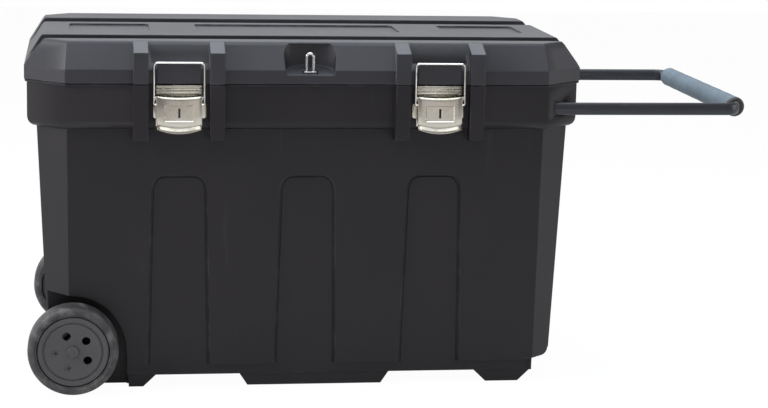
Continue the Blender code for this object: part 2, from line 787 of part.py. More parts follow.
def make_staple():
    plate_low = PAD_TOP + CLEARANCE
    plate = box("padlock_staple", (-STAPLE_PLATE_HALF_WIDTH, STAPLE_Y - STAPLE_PLATE_HALF_DEPTH, plate_low),
                (STAPLE_PLATE_HALF_WIDTH, STAPLE_Y + STAPLE_PLATE_HALF_DEPTH, plate_low + STAPLE_PLATE))
    join(plate, staple_legs("staple_rod", STAPLE_ROD, PAD_TOP - STAPLE_ROOT + CLEARANCE))
    part(bake(plate), "padlock_staple", BRIGHT_STEEL)


# Lid

def slope_ring(height, extra):
    """The lid's sloping outside at a height, drawn in by extra."""
    rise = (height - SLOPE_START) / (LID_TOP - SLOPE_EDGE_DROP - SLOPE_START)
    return chest_ring(height, max(rise, 0) * SLOPE_INSET * SLOPE_EDGE_SHARE + extra)


def lid_outside():
    edge = LID_TOP - SLOPE_EDGE_DROP
    rings = [chest_ring(LIP_HEIGHT, 0), chest_ring(SLOPE_START, 0),
             chest_ring(edge, SLOPE_INSET * SLOPE_EDGE_SHARE)]
    inset = SLOPE_INSET * SLOPE_EDGE_SHARE
    width = SLOPE_INSET - inset
    for x, z in arc((0, 0), width, 120, 90, 1, SLOPE_EDGE_DROP):
        rings.append(chest_ring(edge + z, inset + width + x))
    return loft("lid", rings)


def lid_inside():
    top = LID_TOP - GROOVE_DEPTH - GROOVE_SKIN
    rings = [chest_ring(LIP_HEIGHT - OVERRUN, SKIRT_WALL), chest_ring(LEDGE, SKIRT_WALL),
             chest_ring(LEDGE, LEDGE_INSET), slope_ring(SLOPE_START, LEDGE_INSET),
             slope_ring(top, LEDGE_INSET / 2 + LID_SKIN / 2)]
    inside = loft("lid_inside", rings)
    boss = recess_solid("recess_boss", RECESS_WALL, LEDGE + CLEARANCE, LID_TOP)
    return cut(inside, boss)


def groove_spans():
    front, rear = FRONT_GROOVE_WIDTH / 2, REAR_GROOVE_WIDTH / 2
    return [(-FRONT_GROOVE - front, -FRONT_GROOVE + front), (REAR_GROOVE - rear, REAR_GROOVE + rear)]


def grooves():
    """Two grooves across the lid's top, which run out down its end slopes."""
    cutters = []
    floor_height = LID_TOP - GROOVE_DEPTH
    for low, high in groove_spans():
        groove = box("groove", (-HALF_LENGTH, low, LIP_HEIGHT), (HALF_LENGTH, high, LID_TOP + OVERRUN))
        rings = [chest_ring(LIP_HEIGHT - OVERRUN, -OVERRUN), chest_ring(SLOPE_START + CLEARANCE, 0),
                 slope_ring(floor_height, GROOVE_DEPTH)]
        cutters.append(cut(groove, loft("groove_floor", rings)))
    return cutters


def top_pockets():
    """The hollows under the two ridges and the middle panel, open to the lid's inside."""
    (front_low, front_high), (rear_low, rear_high) = groove_spans()
    edge = HALF_DEPTH - SLOPE_INSET - GROOVE_DEPTH
    spans = [(-edge, front_low - LID_SKIN), (front_high + LID_SKIN, rear_low - LID_SKIN),
             (rear_high + LID_SKIN, edge)]
    reach = HALF_LENGTH - SLOPE_INSET - GROOVE_DEPTH - CORNER_LENGTH / 2
    low = LID_TOP - GROOVE_DEPTH - GROOVE_SKIN - OVERRUN
    return [box("top_pocket", (-reach, start, low), (reach, end, LID_TOP - LID_TOP_SKIN))
            for start, end in spans]


def tray_outline(middle, length):
    half_x, half_y = length / 2 - TRAY_CORNER, TRAY_WIDTH / 2 - TRAY_CORNER
    outline = []
    for side_x, side_y, start in ((1, -1, -90), (1, 1, 0), (-1, 1, 90), (-1, -1, 180)):
        centre = (middle + side_x * half_x, TRAY_Y + side_y * half_y)
        outline += arc(centre, TRAY_CORNER, start, start + 90, 3)
    return outline


def trays():
    places = ((-TRAY_SIDE_X, TRAY_SIDE_LENGTH), (0, TRAY_MIDDLE_LENGTH), (TRAY_SIDE_X, TRAY_SIDE_LENGTH))
    return [prism("tray", tray_outline(middle, length), "XY", LID_TOP - TRAY_DEPTH, LID_TOP + OVERRUN)
            for middle, length in places]


def recess_ring(height, grow):
    """The recess's outline from above: straight cheeks and a bowed back."""
    top = LID_TOP - RECESS_TOP_SKIN
    low = LIP_HEIGHT + RECESS_RISE
    half = RECESS_HALF_WIDTH + RECESS_TOP_WIDENING * (height - low) / (top - low) + grow
    cheek = -HALF_DEPTH + RECESS_SIDE_DEPTH + grow
    bow = RECESS_DEPTH - RECESS_SIDE_DEPTH
    back = arc((0, cheek), half, 0, 180, ARC_STEPS * 2, bow)
    front = -HALF_DEPTH - RIB_PROUD
    return [(-half, front, height), (half, front, height)] + [(x, y, height) for x, y in back]


def recess_solid(name, grow, low, high):
    return loft(name, [recess_ring(low, grow), recess_ring(high, grow)])


def recess():
    """The padlock recess in the front slope, with a floor that falls to the front."""
    hollow = recess_solid("recess", 0, LIP_HEIGHT, LID_TOP - RECESS_TOP_SKIN)
    front, back = -HALF_DEPTH - 2 * RIB_PROUD, -HALF_DEPTH + RECESS_DEPTH + RECESS_WALL
    sill = LIP_HEIGHT + RECESS_RISE
    slope = RECESS_FLOOR_SLOPE_SHARE
    wedge = [(front, LIP_HEIGHT - OVERRUN), (back, LIP_HEIGHT - OVERRUN),
             (back, sill + slope * (back + HALF_DEPTH)), (front, sill + slope * (front + HALF_DEPTH))]
    reach = RECESS_HALF_WIDTH + RECESS_WALL
    return cut(hollow, prism("recess_floor", wedge, "YZ", -reach, reach))


def staple_hole():
    half = STAPLE_PLATE_HALF_WIDTH + STAPLE_HOLE_SIDE
    front = STAPLE_Y - STAPLE_ROD - STAPLE_HOLE_FRONT
    back = STAPLE_Y + STAPLE_PLATE_HALF_DEPTH + PLAY
    return box("staple_hole", (-half, front, LIP_HEIGHT), (half, back, LIP_HEIGHT + RECESS_DEPTH))


def lid_ribs():
    front = -HALF_DEPTH - RIB_PROUD
    low = LIP_HEIGHT + CLEARANCE
    inner = -HALF_DEPTH + SLOPE_INSET + OVERRUN
    outline = [(front, low), (-HALF_DEPTH + SKIRT_WALL / 2, low), (-HALF_DEPTH + SKIRT_WALL / 2, LEDGE),
               (inner, LEDGE + LID_SKIN), (inner, LID_TOP - OVERRUN),
               (-HALF_DEPTH + RIB_TOP_SETBACK, LID_TOP - CLEARANCE), (front, LIP_HEIGHT + RIB_SHOULDER)]
    return [prism("lid_rib", outline, "YZ", centre - RIB_WIDTH / 2, centre + RIB_WIDTH / 2)
            for centre in rib_centres()]


def keepers():
    front = -HALF_DEPTH - KEEPER_PROUD
    return [box("keeper", (centre - KEEPER_HALF_WIDTH, front, LIP_HEIGHT + CLEARANCE),
                (centre + KEEPER_HALF_WIDTH, -HALF_DEPTH + OVERRUN, LIP_HEIGHT + KEEPER_RISE + OVERRUN))
            for centre in latch_centres().values()]


def keeper_notches():
    low = LIP_HEIGHT + KEEPER_RISE
    return [box("keeper_notch", (centre - NOTCH_HALF_WIDTH, -HALF_DEPTH - RIB_PROUD, low),
                (centre + NOTCH_HALF_WIDTH, -HALF_DEPTH + NOTCH_DEPTH, low + NOTCH_HEIGHT))
            for centre in latch_centres().values()]


def lid_knuckles():
    """A knuckle on each hinge, carried by an arm from the lid's rear skirt."""
    front = HALF_DEPTH + CLEARANCE * 2
    outer = HINGE_Y + KNUCKLE_RADIUS
    skirt = HALF_DEPTH - SKIRT_WALL / 2
    seat = LIP_HEIGHT + OVERRUN
    outline = [(skirt, seat), (front, seat), (front, HINGE_Z + KNUCKLE_RADIUS / 2)]
    outline += arc((HINGE_Y, HINGE_Z), KNUCKLE_RADIUS, 180, 360, ARC_STEPS * 2)
    outline += [(outer, HINGE_Z + HINGE_ARM_SHOULDER), (HALF_DEPTH + OVERRUN, HINGE_Z + HINGE_ARM_RISE),
                (skirt, HINGE_Z + HINGE_ARM_RISE)]
    half = KNUCKLE_LID_LENGTH / 2 - CLEARANCE
    return [prism("lid_knuckle", outline, "YZ", centre - half, centre + half)
            for centre in hinge_centres().values()]


def make_lid():
    lid = lid_outside()
    join(lid, gather("lid_additions", *lid_ribs(), *keepers(), *lid_knuckles()))
    cut(lid, gather("lid_marks", *grooves(), *trays(), *keeper_notches()), lid_inside())
    cut(lid, gather("top_pockets", *top_pockets()), recess())
    cut(lid, gather("lid_holes", staple_hole(), hinge_bore(HALF_LENGTH)))
    set_origin(bake(lid), (0, HINGE_Y, HINGE_Z))
    return part(lid, "lid", BLACK_PLASTIC)


def make_seal():
    low = RIM_TOP + CLEARANCE
    high = low + SEAL_HEIGHT
    seal = loft("seal", [chest_ring(low, SEAL_INSET), chest_ring(high, SEAL_INSET)])
    inner = SEAL_INSET + SEAL_WIDTH
    cut(seal, loft("seal_inside", [chest_ring(low - OVERRUN, inner), chest_ring(high + OVERRUN, inner)]))
    set_origin(bake(seal), (0, HINGE_Y, HINGE_Z))
    part(seal, "lid_seal", RUBBER)


def make_hinge_pins():
    half = KNUCKLE_LID_LENGTH / 2 + KNUCKLE_TUB_LENGTH
    for side, centre in hinge_centres().items():
        pin = cylinder("pin", "X", (0, HINGE_Y, HINGE_Z), HINGE_PIN_RADIUS, centre - half, centre + half,
                       ROUND_SMALL)
        part(pin, "hinge_pin_" + side, BRIGHT_STEEL)


# Latches

PLATE_BACK = -BAND_FACE - CLEARANCE
PLATE_FRONT = PLATE_BACK - PLATE_THICKNESS
PLATE_TOP = SHELF - PLATE_LIP_GAP
PIN_Y = PLATE_FRONT - LEVER_PIN_PROUD
PIN_Z = PLATE_TOP - LEVER_PIN_DROP
EAR_INNER = LEVER_HALF_WIDTH + CLEARANCE
EAR_OUTER = EAR_INNER + EAR_THICKNESS
BAIL_Y = PIN_Y - BAIL_PROUD
BAIL_Z = PIN_Z - BAIL_DROP


def plate_outline():
    half = EAR_OUTER
    wing = PLATE_HALF_WIDTH + WING_REACH
    wing_top = PLATE_TOP - WING_DROP
    wing_low = wing_top - WING_HEIGHT
    low = PLATE_TOP - PLATE_HEIGHT
    right = [(PLATE_HALF_WIDTH, low), (PLATE_HALF_WIDTH, wing_low), (wing, wing_low + RIB_CORNER),
             (wing, wing_top), (half, wing_top + RIB_CORNER), (half, PLATE_TOP)]
    return right + [(-x, z) for x, z in reversed(right)]


def make_latch_plate():
    plate = prism("plate", plate_outline(), "XZ", PLATE_FRONT, PLATE_BACK)
    for row in range(3):
        height = PLATE_TOP - BEAD_RADIUS - row * BEAD_PITCH
        depth = PLATE_BACK - CLEARANCE - BEAD_RADIUS
        join(plate, cylinder("bead", "X", (0, depth, height), BEAD_RADIUS, -PLATE_HALF_WIDTH,
                             PLATE_HALF_WIDTH, ROUND_SMALL))
    for side in (-1, 1):
        low, high = sorted((side * EAR_INNER, side * EAR_OUTER))
        back = PLATE_FRONT + PLATE_THICKNESS / 2
        outline = [(back, PIN_Z - EAR_RADIUS)] + arc((PIN_Y, PIN_Z), EAR_RADIUS, 270, 90, ARC_STEPS)
        outline += [(PLATE_FRONT - BEAD_RADIUS, PIN_Z + EAR_RADIUS + OVERRUN),
                    (PLATE_FRONT - BEAD_RADIUS, PLATE_TOP - OVERRUN), (back, PLATE_TOP - OVERRUN)]
        join(plate, prism("ear", outline, "YZ", low, high))
    cut(plate, cylinder("pin_hole", "X", (0, PIN_Y, PIN_Z), LEVER_PIN_RADIUS + CLEARANCE,
                        -BAIL_HALF_WIDTH, BAIL_HALF_WIDTH, ROUND_SMALL))
    for across, height in rivet_places():
        cut(plate, cylinder("plate_hole", "Y", (across, 0, height), RIVET_RADIUS + CLEARANCE,
                            PLATE_FRONT - OVERRUN, PLATE_BACK + OVERRUN, ROUND_SMALL))
    return bake(plate)


def lever_face(skin):
    """The lever's face seen from its side, from the top edge down to the flared lip."""
    top, low = PIN_Z + LEVER_RISE, PIN_Z - LEVER_DROP
    bulge = PIN_Y - LEVER_BULGE + skin
    lip = PIN_Y - LEVER_LIP + skin
    brow = bulge + LEVER_BULGE / 2
    height = top - low
    return [(brow, top), (bulge + LEVER_SKIN, top - height * 0.09), (bulge, top - height * 0.25),
            (bulge, top - height * 0.70), (bulge + LEVER_SKIN, top - height * 0.90),
            (bulge, top - height * 0.95), (lip, low)]


def make_lever():
    back = PIN_Y + LEVER_BACK
    top, low = PIN_Z + LEVER_RISE, PIN_Z - LEVER_DROP
    outline = lever_face(0) + [(lever_face(LEVER_SKIN)[-1][0], low), (back, low + LEVER_LIP), (back, top)]
    lever = prism("lever", outline, "YZ", -LEVER_HALF_WIDTH, LEVER_HALF_WIDTH)
    hollow = lever_face(LEVER_SKIN)
    hollow = [(hollow[0][0], top - LEVER_SKIN)] + hollow[1:-1] + [(hollow[-1][0] + LEVER_LIP, low + LEVER_SAG)]
    hollow += [(back + OVERRUN, low + LEVER_SAG), (back + OVERRUN, top - LEVER_SKIN)]
    inner = LEVER_HALF_WIDTH - LEVER_SKIN
    inside = prism("lever_inside", hollow, "YZ", -inner, inner)
    middle = PIN_Z - POCKET_DROP
    face = PIN_Y - LEVER_BULGE
    dish = face + POCKET_DEPTH
    wall = LEVER_SKIN
    cut(inside, box("pocket_back", (-POCKET_WIDTH / 2 - wall, face, middle - POCKET_HEIGHT / 2 - wall),
                    (POCKET_WIDTH / 2 + wall, dish + wall, middle + POCKET_HEIGHT / 2 + wall)))
    cut(lever, inside)
    cut(lever, box("pocket", (-POCKET_WIDTH / 2, face - OVERRUN, middle - POCKET_HEIGHT / 2),
                   (POCKET_WIDTH / 2, dish, middle + POCKET_HEIGHT / 2)))
    cut(lever, box("keyway", (-KEYWAY_WIDTH / 2, face - OVERRUN, middle - KEYWAY_HEIGHT / 2),
                   (KEYWAY_WIDTH / 2, back, middle + KEYWAY_HEIGHT / 2)))
    half = LEVER_HALF_WIDTH + OVERRUN
    radius = (half ** 2 + LEVER_SAG ** 2) / (2 * LEVER_SAG)
    sweep = math.degrees(math.asin(half / radius))
    edge = arc((0, low + radius), radius, 270 - sweep, 270 + sweep, ARC_STEPS * 2)
    edge += [(half, low - LEVER_SAG), (-half, low - LEVER_SAG)]
    cut(lever, prism("lever_edge", edge, "XZ", PIN_Y - LEVER_LIP * 2, PIN_Y + LEVER_LIP))
    for height, depth, radius in ((PIN_Z, PIN_Y, LEVER_PIN_RADIUS), (BAIL_Z, BAIL_Y, BAIL_RADIUS)):
        cut(lever, cylinder("lever_hole", "X", (0, depth, height), radius + CLEARANCE,
                            -EAR_OUTER, EAR_OUTER, ROUND_SMALL))
    return set_origin(bake(lever), (0, PIN_Y, PIN_Z))


def make_bail():
    """A bent wire: tips in the lever's cheeks, legs outside them and a top wire."""
    lean = (PIN_Y - BAIL_Y) / BAIL_HEIGHT
    top = BAIL_Z + BAIL_HEIGHT
    tip = BAIL_HALF_WIDTH - BAIL_TIP
    flat = [(BAIL_HALF_WIDTH, BAIL_Z)]
    flat += arc((BAIL_HALF_WIDTH - BAIL_CORNER, top - BAIL_CORNER), BAIL_CORNER, 0, 90, 4)
    flat += [(-x, z) for x, z in reversed(flat)]
    points = [(x, BAIL_Y + lean * (z - BAIL_Z), z) for x, z in flat]
    points = [(tip, BAIL_Y, BAIL_Z)] + points + [(-tip, BAIL_Y, BAIL_Z)]
    return set_origin(bent_rod("bail", points, BAIL_RADIUS, 2), (0, BAIL_Y, BAIL_Z))


def make_rivet(across, height):
    head_front = PLATE_FRONT - CLEARANCE - RIVET_HEAD
    head = cylinder("rivet", "Y", (across, 0, height), RIVET_HEAD_RADIUS, head_front,
                    head_front + RIVET_HEAD, ROUND_SMALL)
    shank = cylinder("rivet_shank", "Y", (across, 0, height), RIVET_RADIUS, head_front + RIVET_HEAD / 2,
                     -BAND_FACE + RIVET_DEPTH, ROUND_SMALL)
    return bake(join(head, shank))


def make_latches():
    plate = part(make_latch_plate(), "latch_plate", BRIGHT_STEEL)
    lever = part(make_lever(), "latch_lever", BRIGHT_STEEL)
    bail = part(make_bail(), "latch_bail", BRIGHT_STEEL)
    (inner_x, inner_z), (outer_x, outer_z) = rivet_places()
    first = part(make_rivet(inner_x, inner_z), "latch_rivet_first", BRIGHT_STEEL)
    second = part(make_rivet(outer_x, outer_z), "latch_rivet_second", BRIGHT_STEEL)
    pin = cylinder("pin", "X", (0, PIN_Y, PIN_Z), LEVER_PIN_RADIUS, -EAR_OUTER, EAR_OUTER, ROUND_SMALL)
    part(pin, "lever_pin", BRIGHT_STEEL)
    for side, centre in latch_centres().items():
        shift = Matrix.Translation((centre, 0, 0))
        copy_of(plate, "latch_plate_" + side, shift)
        copy_of(lever, "latch_lever_" + side, shift, (centre, PIN_Y, PIN_Z))
        copy_of(bail, "latch_bail_" + side, shift, (centre, BAIL_Y, BAIL_Z))
        copy_of(first, "latch_rivet_" + side + "_a", shift)
        copy_of(second, "latch_rivet_" + side + "_b", shift)
        copy_of(pin, "lever_pin_" + side, shift)
    for pattern in (plate, lever, bail, first, second, pin):
        bpy.data.objects.remove(pattern, do_unlink=True)


# Wheels

def hub_depth():
    """From the tyre's outer face to the hub's inner end."""
    return WHEEL_WIDTH + WASHER_THICKNESS


def hub_profile():
    face = -HUB_RECESS
    back = face - HUB_DISC
    bore = AXLE_RADIUS + CLEARANCE
    ring_in, ring_out = HUB_RING_RADIUS, HUB_RING_RADIUS + HUB_RING_WIDTH
    groove = HUB_RADIUS - HUB_GROOVE_DEPTH
    seat_top = -WHEEL_WIDTH / 3
    seat_low = -WHEEL_WIDTH * 2 / 3
    rim_low = HUB_RECESS - WHEEL_WIDTH
    flank = HUB_GROOVE_DEPTH / 2
    rim_in = HUB_RADIUS - HUB_RIM_WALL
    return [(bore, face), (ring_in, face), (ring_in, face - HUB_RING_DEPTH), (ring_out, face - HUB_RING_DEPTH),
            (ring_out, face), (HUB_RADIUS - HUB_RING_DEPTH, face), (HUB_RADIUS, face - HUB_RING_DEPTH),
            (HUB_RADIUS, seat_top + flank), (groove, seat_top), (groove, seat_low),
            (HUB_RADIUS, seat_low - flank), (HUB_RADIUS, rim_low), (rim_in, rim_low), (rim_in, back),
            (HUB_BOSS_RADIUS, back), (HUB_BOSS_RADIUS, -hub_depth()), (bore, -hub_depth())]


def tyre_profile():
    inner = HUB_RADIUS + CLEARANCE
    lip = HUB_RADIUS - HUB_GROOVE_DEPTH + CLEARANCE
    flank = HUB_GROOVE_DEPTH / 2
    seat_top = -WHEEL_WIDTH / 3 - CLEARANCE * 2
    seat_low = -WHEEL_WIDTH * 2 / 3 + CLEARANCE * 2
    centre_r = WHEEL_RADIUS - TYRE_SHOULDER
    top = [(r, z) for r, z in arc((centre_r, -TYRE_SHOULDER), TYRE_SHOULDER, 90, 0, 4)]
    low = [(r, z) for r, z in arc((centre_r, TYRE_SHOULDER - WHEEL_WIDTH), TYRE_SHOULDER, 0, -90, 4)]
    edge = HUB_RING_WIDTH
    return ([(inner, -edge), (inner + edge, 0)] + top + low + [(inner + edge, -WHEEL_WIDTH), (inner, edge - WHEEL_WIDTH)]
            + [(inner, seat_low - flank), (lip, seat_low), (lip, seat_top), (inner, seat_top + flank)])


def make_wheels():
    """Hub, tyre, washer and cap at the front end of the axle, and their mirror at the rear."""
    face_out = (math.pi / 2, 0, 0)
    place = (WHEEL_X, -WHEEL_OUTER_Y, WHEEL_RADIUS)
    hub = turned("hub", hub_profile(), face_out, place, ROUND_FINE)
    for index in range(HUB_HOLE_COUNT):
        angle = math.radians(HUB_FIRST_HOLE_DEG - index * 360 / HUB_HOLE_COUNT)
        centre = (WHEEL_X + HUB_HOLE_CIRCLE * math.cos(angle), 0, WHEEL_RADIUS + HUB_HOLE_CIRCLE * math.sin(angle))
        depth = HUB_DISC + OVERRUN if index < HUB_OPEN_HOLES else HUB_BLIND_DEPTH
        face = HUB_RECESS - WHEEL_OUTER_Y
        cut(hub, cylinder("hub_hole", "Y", centre, HUB_HOLE_RADIUS, face - OVERRUN, face + depth))
    bake(hub)
    tyre = turned("tyre", tyre_profile(), face_out, place, ROUND_FINE)
    washer_low = hub_depth() + CLEARANCE - WHEEL_OUTER_Y
    washer = cylinder("washer", "Y", (WHEEL_X, 0, WHEEL_RADIUS), WASHER_RADIUS, washer_low,
                      washer_low + WASHER_THICKNESS)
    cut(washer, cylinder("washer_bore", "Y", (WHEEL_X, 0, WHEEL_RADIUS), AXLE_RADIUS + CLEARANCE,
                         washer_low - OVERRUN, washer_low + WASHER_THICKNESS + OVERRUN))
    bake(washer)
    bore = AXLE_RADIUS + CLEARANCE
    seat = CLEARANCE - HUB_RECESS
    cap_profile = [(0, 0), (CAP_RIM_RADIUS, 0), (CAP_RADIUS, -CAP_SKIN), (CAP_RADIUS, seat), (bore, seat),
                   (bore, -CAP_SKIN), (0, -CAP_SKIN)]
    cap = turned("cap", cap_profile, face_out, place, ROUND_MEDIUM)
    pivot = Vector(place)
    far_pivot = Vector((WHEEL_X, WHEEL_OUTER_Y, WHEEL_RADIUS))
    for item, stem, material in ((hub, "wheel_hub_", WHEEL_PLASTIC), (tyre, "wheel_tyre_", TYRE_RUBBER),
                                 (washer, "axle_washer_", BRIGHT_STEEL), (cap, "axle_cap_", WHEEL_PLASTIC)):
        twin = copy_of(item, stem + "rear", MIRROR_Y, far_pivot)
        part(twin, stem + "rear", material)
        part(set_origin(item, pivot), stem + "front", material)


def make_axle():
    reach = WHEEL_OUTER_Y - CAP_SKIN - CLEARANCE
    part(cylinder("axle", "Y", (WHEEL_X, 0, WHEEL_RADIUS), AXLE_RADIUS, -reach, reach), "axle", BRIGHT_STEEL)


# Pull handle

def oval_cutter(name, grow, low, high, centre, axis):
    """A flat-oval bore for a bar along X or for the cross bar along Y."""
    facets = ROUND_MEDIUM
    item = cylinder(name, axis, (0, 0, 0), 1, low, high, facets)
    thick, tall = BAR_HALF_THICKNESS + grow, BAR_HALF_HEIGHT + grow
    size = (1, thick, tall) if axis == "X" else (thick, 1, tall)
    item.data.transform(Matrix.Translation(centre) @ Matrix.Diagonal((*size, 1)))
    return item


def make_handle():
    inner = stop_inner_x() + STOP_LENGTH - STOP_LAP
    bend = arc((GRIP_X - BAR_BEND, BAR_BEND - BAR_Y), BAR_BEND, 270, 360)
    half = [(inner, -BAR_Y)] + bend
    flat = half + [(x, -y) for x, y in reversed(half)]
    points = [(x, y, BAR_HEIGHT) for x, y in flat]
    stretch = (1, 1, BAR_HALF_HEIGHT / BAR_HALF_THICKNESS)
    handle = bent_rod("handle", points, BAR_HALF_THICKNESS, 4, stretch=stretch)
    part(handle, "handle_frame", SATIN_BLACK, 40.0)
    reach = BAR_Y - BAR_BEND - GRIP_END_GAP
    grip = cylinder("grip", "Y", (GRIP_X, 0, BAR_HEIGHT), GRIP_RADIUS, -reach, reach, ROUND_FINE)
    edge = grip.modifiers.new("edge", "BEVEL")
    edge.width = GRIP_EDGE
    edge.segments = 2
    edge.limit_method = "ANGLE"
    edge.angle_limit = math.radians(60)
    cut(grip, oval_cutter("grip_bore", CLEARANCE, -HALF_DEPTH, HALF_DEPTH, (GRIP_X, 0, BAR_HEIGHT), "Y"))
    part(bake(grip), "foam_grip", FOAM)
    make_handle_ends()


def make_handle_ends():
    """The guide bush in each channel's mouth and the stop block on each bar's inner end."""
    low_z, high_z = BAR_HEIGHT - CHANNEL_HALF_HEIGHT, BAR_HEIGHT + CHANNEL_HALF_HEIGHT
    wide = CHANNEL_HALF_WIDTH - CLEARANCE
    guide_in = mouth_x() - GUIDE_LENGTH
    slope = CORNER_LENGTH / CORNER_DEPTH
    inner_y, outer_y = -BAR_Y + wide, -BAR_Y - wide
    end = mouth_x() - GUIDE_SETBACK
    outline = [(guide_in, outer_y), (end - slope * wide, outer_y), (end + slope * wide, inner_y),
               (guide_in, inner_y)]
    guide = prism("guide", outline, "XY", low_z + CLEARANCE, high_z - CLEARANCE)
    centre = (0, -BAR_Y, BAR_HEIGHT)
    cut(guide, oval_cutter("guide_bore", CLEARANCE, 0, HALF_LENGTH, centre, "X"))
    bake(guide)
    stop_in = stop_inner_x()
    slack = PLAY
    stop = box("stop", (stop_in, -BAR_Y - wide + slack, low_z + slack),
               (stop_in + STOP_LENGTH, -BAR_Y + wide - slack, high_z - slack))
    seat = stop_in + STOP_LENGTH - STOP_LAP - CLEARANCE
    cut(stop, oval_cutter("stop_bore", CLEARANCE, seat, HALF_LENGTH, centre, "X"))
    bake(stop)
    for item, stem, material in ((guide, "handle_guide_", BLACK_PLASTIC), (stop, "handle_stop_", GREY_PLASTIC)):
        part(copy_of(item, stem + "rear", MIRROR_Y), stem + "rear", material)
        part(item, stem + "front", material)


clear_scene()
PARTS = new_collection("rolling_toolbox")
CUTTERS = new_collection("cutters")

BLACK_PLASTIC = new_material("black_plastic", (0.030, 0.028, 0.030), 0.45)
GREY_PLASTIC = new_material("grey_plastic", (0.10, 0.10, 0.11), 0.50)
WHEEL_PLASTIC = new_material("wheel_plastic", (0.060, 0.060, 0.063), 0.50)
TYRE_RUBBER = new_material("tyre_rubber", (0.075, 0.075, 0.080), 0.60)
RUBBER = new_material("seal_rubber", (0.02, 0.02, 0.02), 0.80)
FOAM = new_material("grip_foam", (0.13, 0.17, 0.20), 0.85)
SATIN_BLACK = new_material("satin_black_steel", (0.035, 0.037, 0.040), 0.35, 0.3)
BRIGHT_STEEL = new_material("bright_steel", (0.72, 0.70, 0.64), 0.25, 1.0)

make_tub()
make_staple()
make_lid()
make_seal()
make_hinge_pins()
make_latches()
make_wheels()
make_axle()
make_handle()
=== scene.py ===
"""The looks of a rolling toolbox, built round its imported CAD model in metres."""

from __future__ import annotations

import logging
import math
from contextlib import contextmanager
from dataclasses import dataclass
from enum import Enum
from typing import Callable, Iterable, Iterator, Sequence

import bmesh
import bpy
from mathutils import Matrix, Vector

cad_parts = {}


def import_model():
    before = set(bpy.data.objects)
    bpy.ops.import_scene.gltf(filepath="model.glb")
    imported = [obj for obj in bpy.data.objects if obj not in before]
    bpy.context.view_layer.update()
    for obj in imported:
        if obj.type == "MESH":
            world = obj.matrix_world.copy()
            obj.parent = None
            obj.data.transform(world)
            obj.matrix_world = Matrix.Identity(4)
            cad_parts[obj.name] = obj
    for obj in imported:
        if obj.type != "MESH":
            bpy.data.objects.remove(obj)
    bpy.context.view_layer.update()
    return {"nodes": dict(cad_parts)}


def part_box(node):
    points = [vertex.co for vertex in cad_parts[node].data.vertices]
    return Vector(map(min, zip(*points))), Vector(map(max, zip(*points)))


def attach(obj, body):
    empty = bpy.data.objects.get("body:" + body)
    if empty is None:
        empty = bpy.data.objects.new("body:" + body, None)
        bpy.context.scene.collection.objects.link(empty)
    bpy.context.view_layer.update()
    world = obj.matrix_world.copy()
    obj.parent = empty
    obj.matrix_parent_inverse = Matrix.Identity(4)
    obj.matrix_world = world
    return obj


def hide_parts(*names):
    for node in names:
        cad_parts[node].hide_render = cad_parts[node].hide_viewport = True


log = logging.getLogger("rolling_toolbox")

Colour = tuple[float, float, float]
Point = tuple[float, float, float]
Pair = tuple[float, float]

MERGE_DISTANCE = 0.00001
NEAR = 0.00001
FLAT_DEG = 0.4
WHITE: Colour = (1.0, 1.0, 1.0)


class End(Enum):
    """The two ends of the axle, by the sign of their Y."""

    FRONT = -1
    REAR = 1


class Side(Enum):
    """The two latches, by the sign of their X."""

    LEFT = -1
    RIGHT = 1


# Shader expressions

class Wire:
    """One output socket of a shader tree, on which operators add Math nodes."""

    def __init__(self, sheet: Sheet, socket: bpy.types.NodeSocket) -> None:
        """Keep the tree and the socket."""
        self.sheet = sheet
        self.socket = socket

    def _maths(self, operation: str, first: Wire | float, second: Wire | float) -> Wire:
        """The output of a new Math node."""
        return self.sheet.node("ShaderNodeMath", {"operation": operation}, {0: first, 1: second})

    def __add__(self, other: Wire | float) -> Wire:
        """The sum."""
        return self._maths("ADD", self, other)

    __radd__ = __add__

    def __sub__(self, other: Wire | float) -> Wire:
        """The difference."""
        return self._maths("SUBTRACT", self, other)

    def __rsub__(self, other: Wire | float) -> Wire:
        """The difference, taken from a number."""
        return self._maths("SUBTRACT", other, self)

    def __mul__(self, other: Wire | float) -> Wire:
        """The product."""
        return self._maths("MULTIPLY", self, other)

    __rmul__ = __mul__


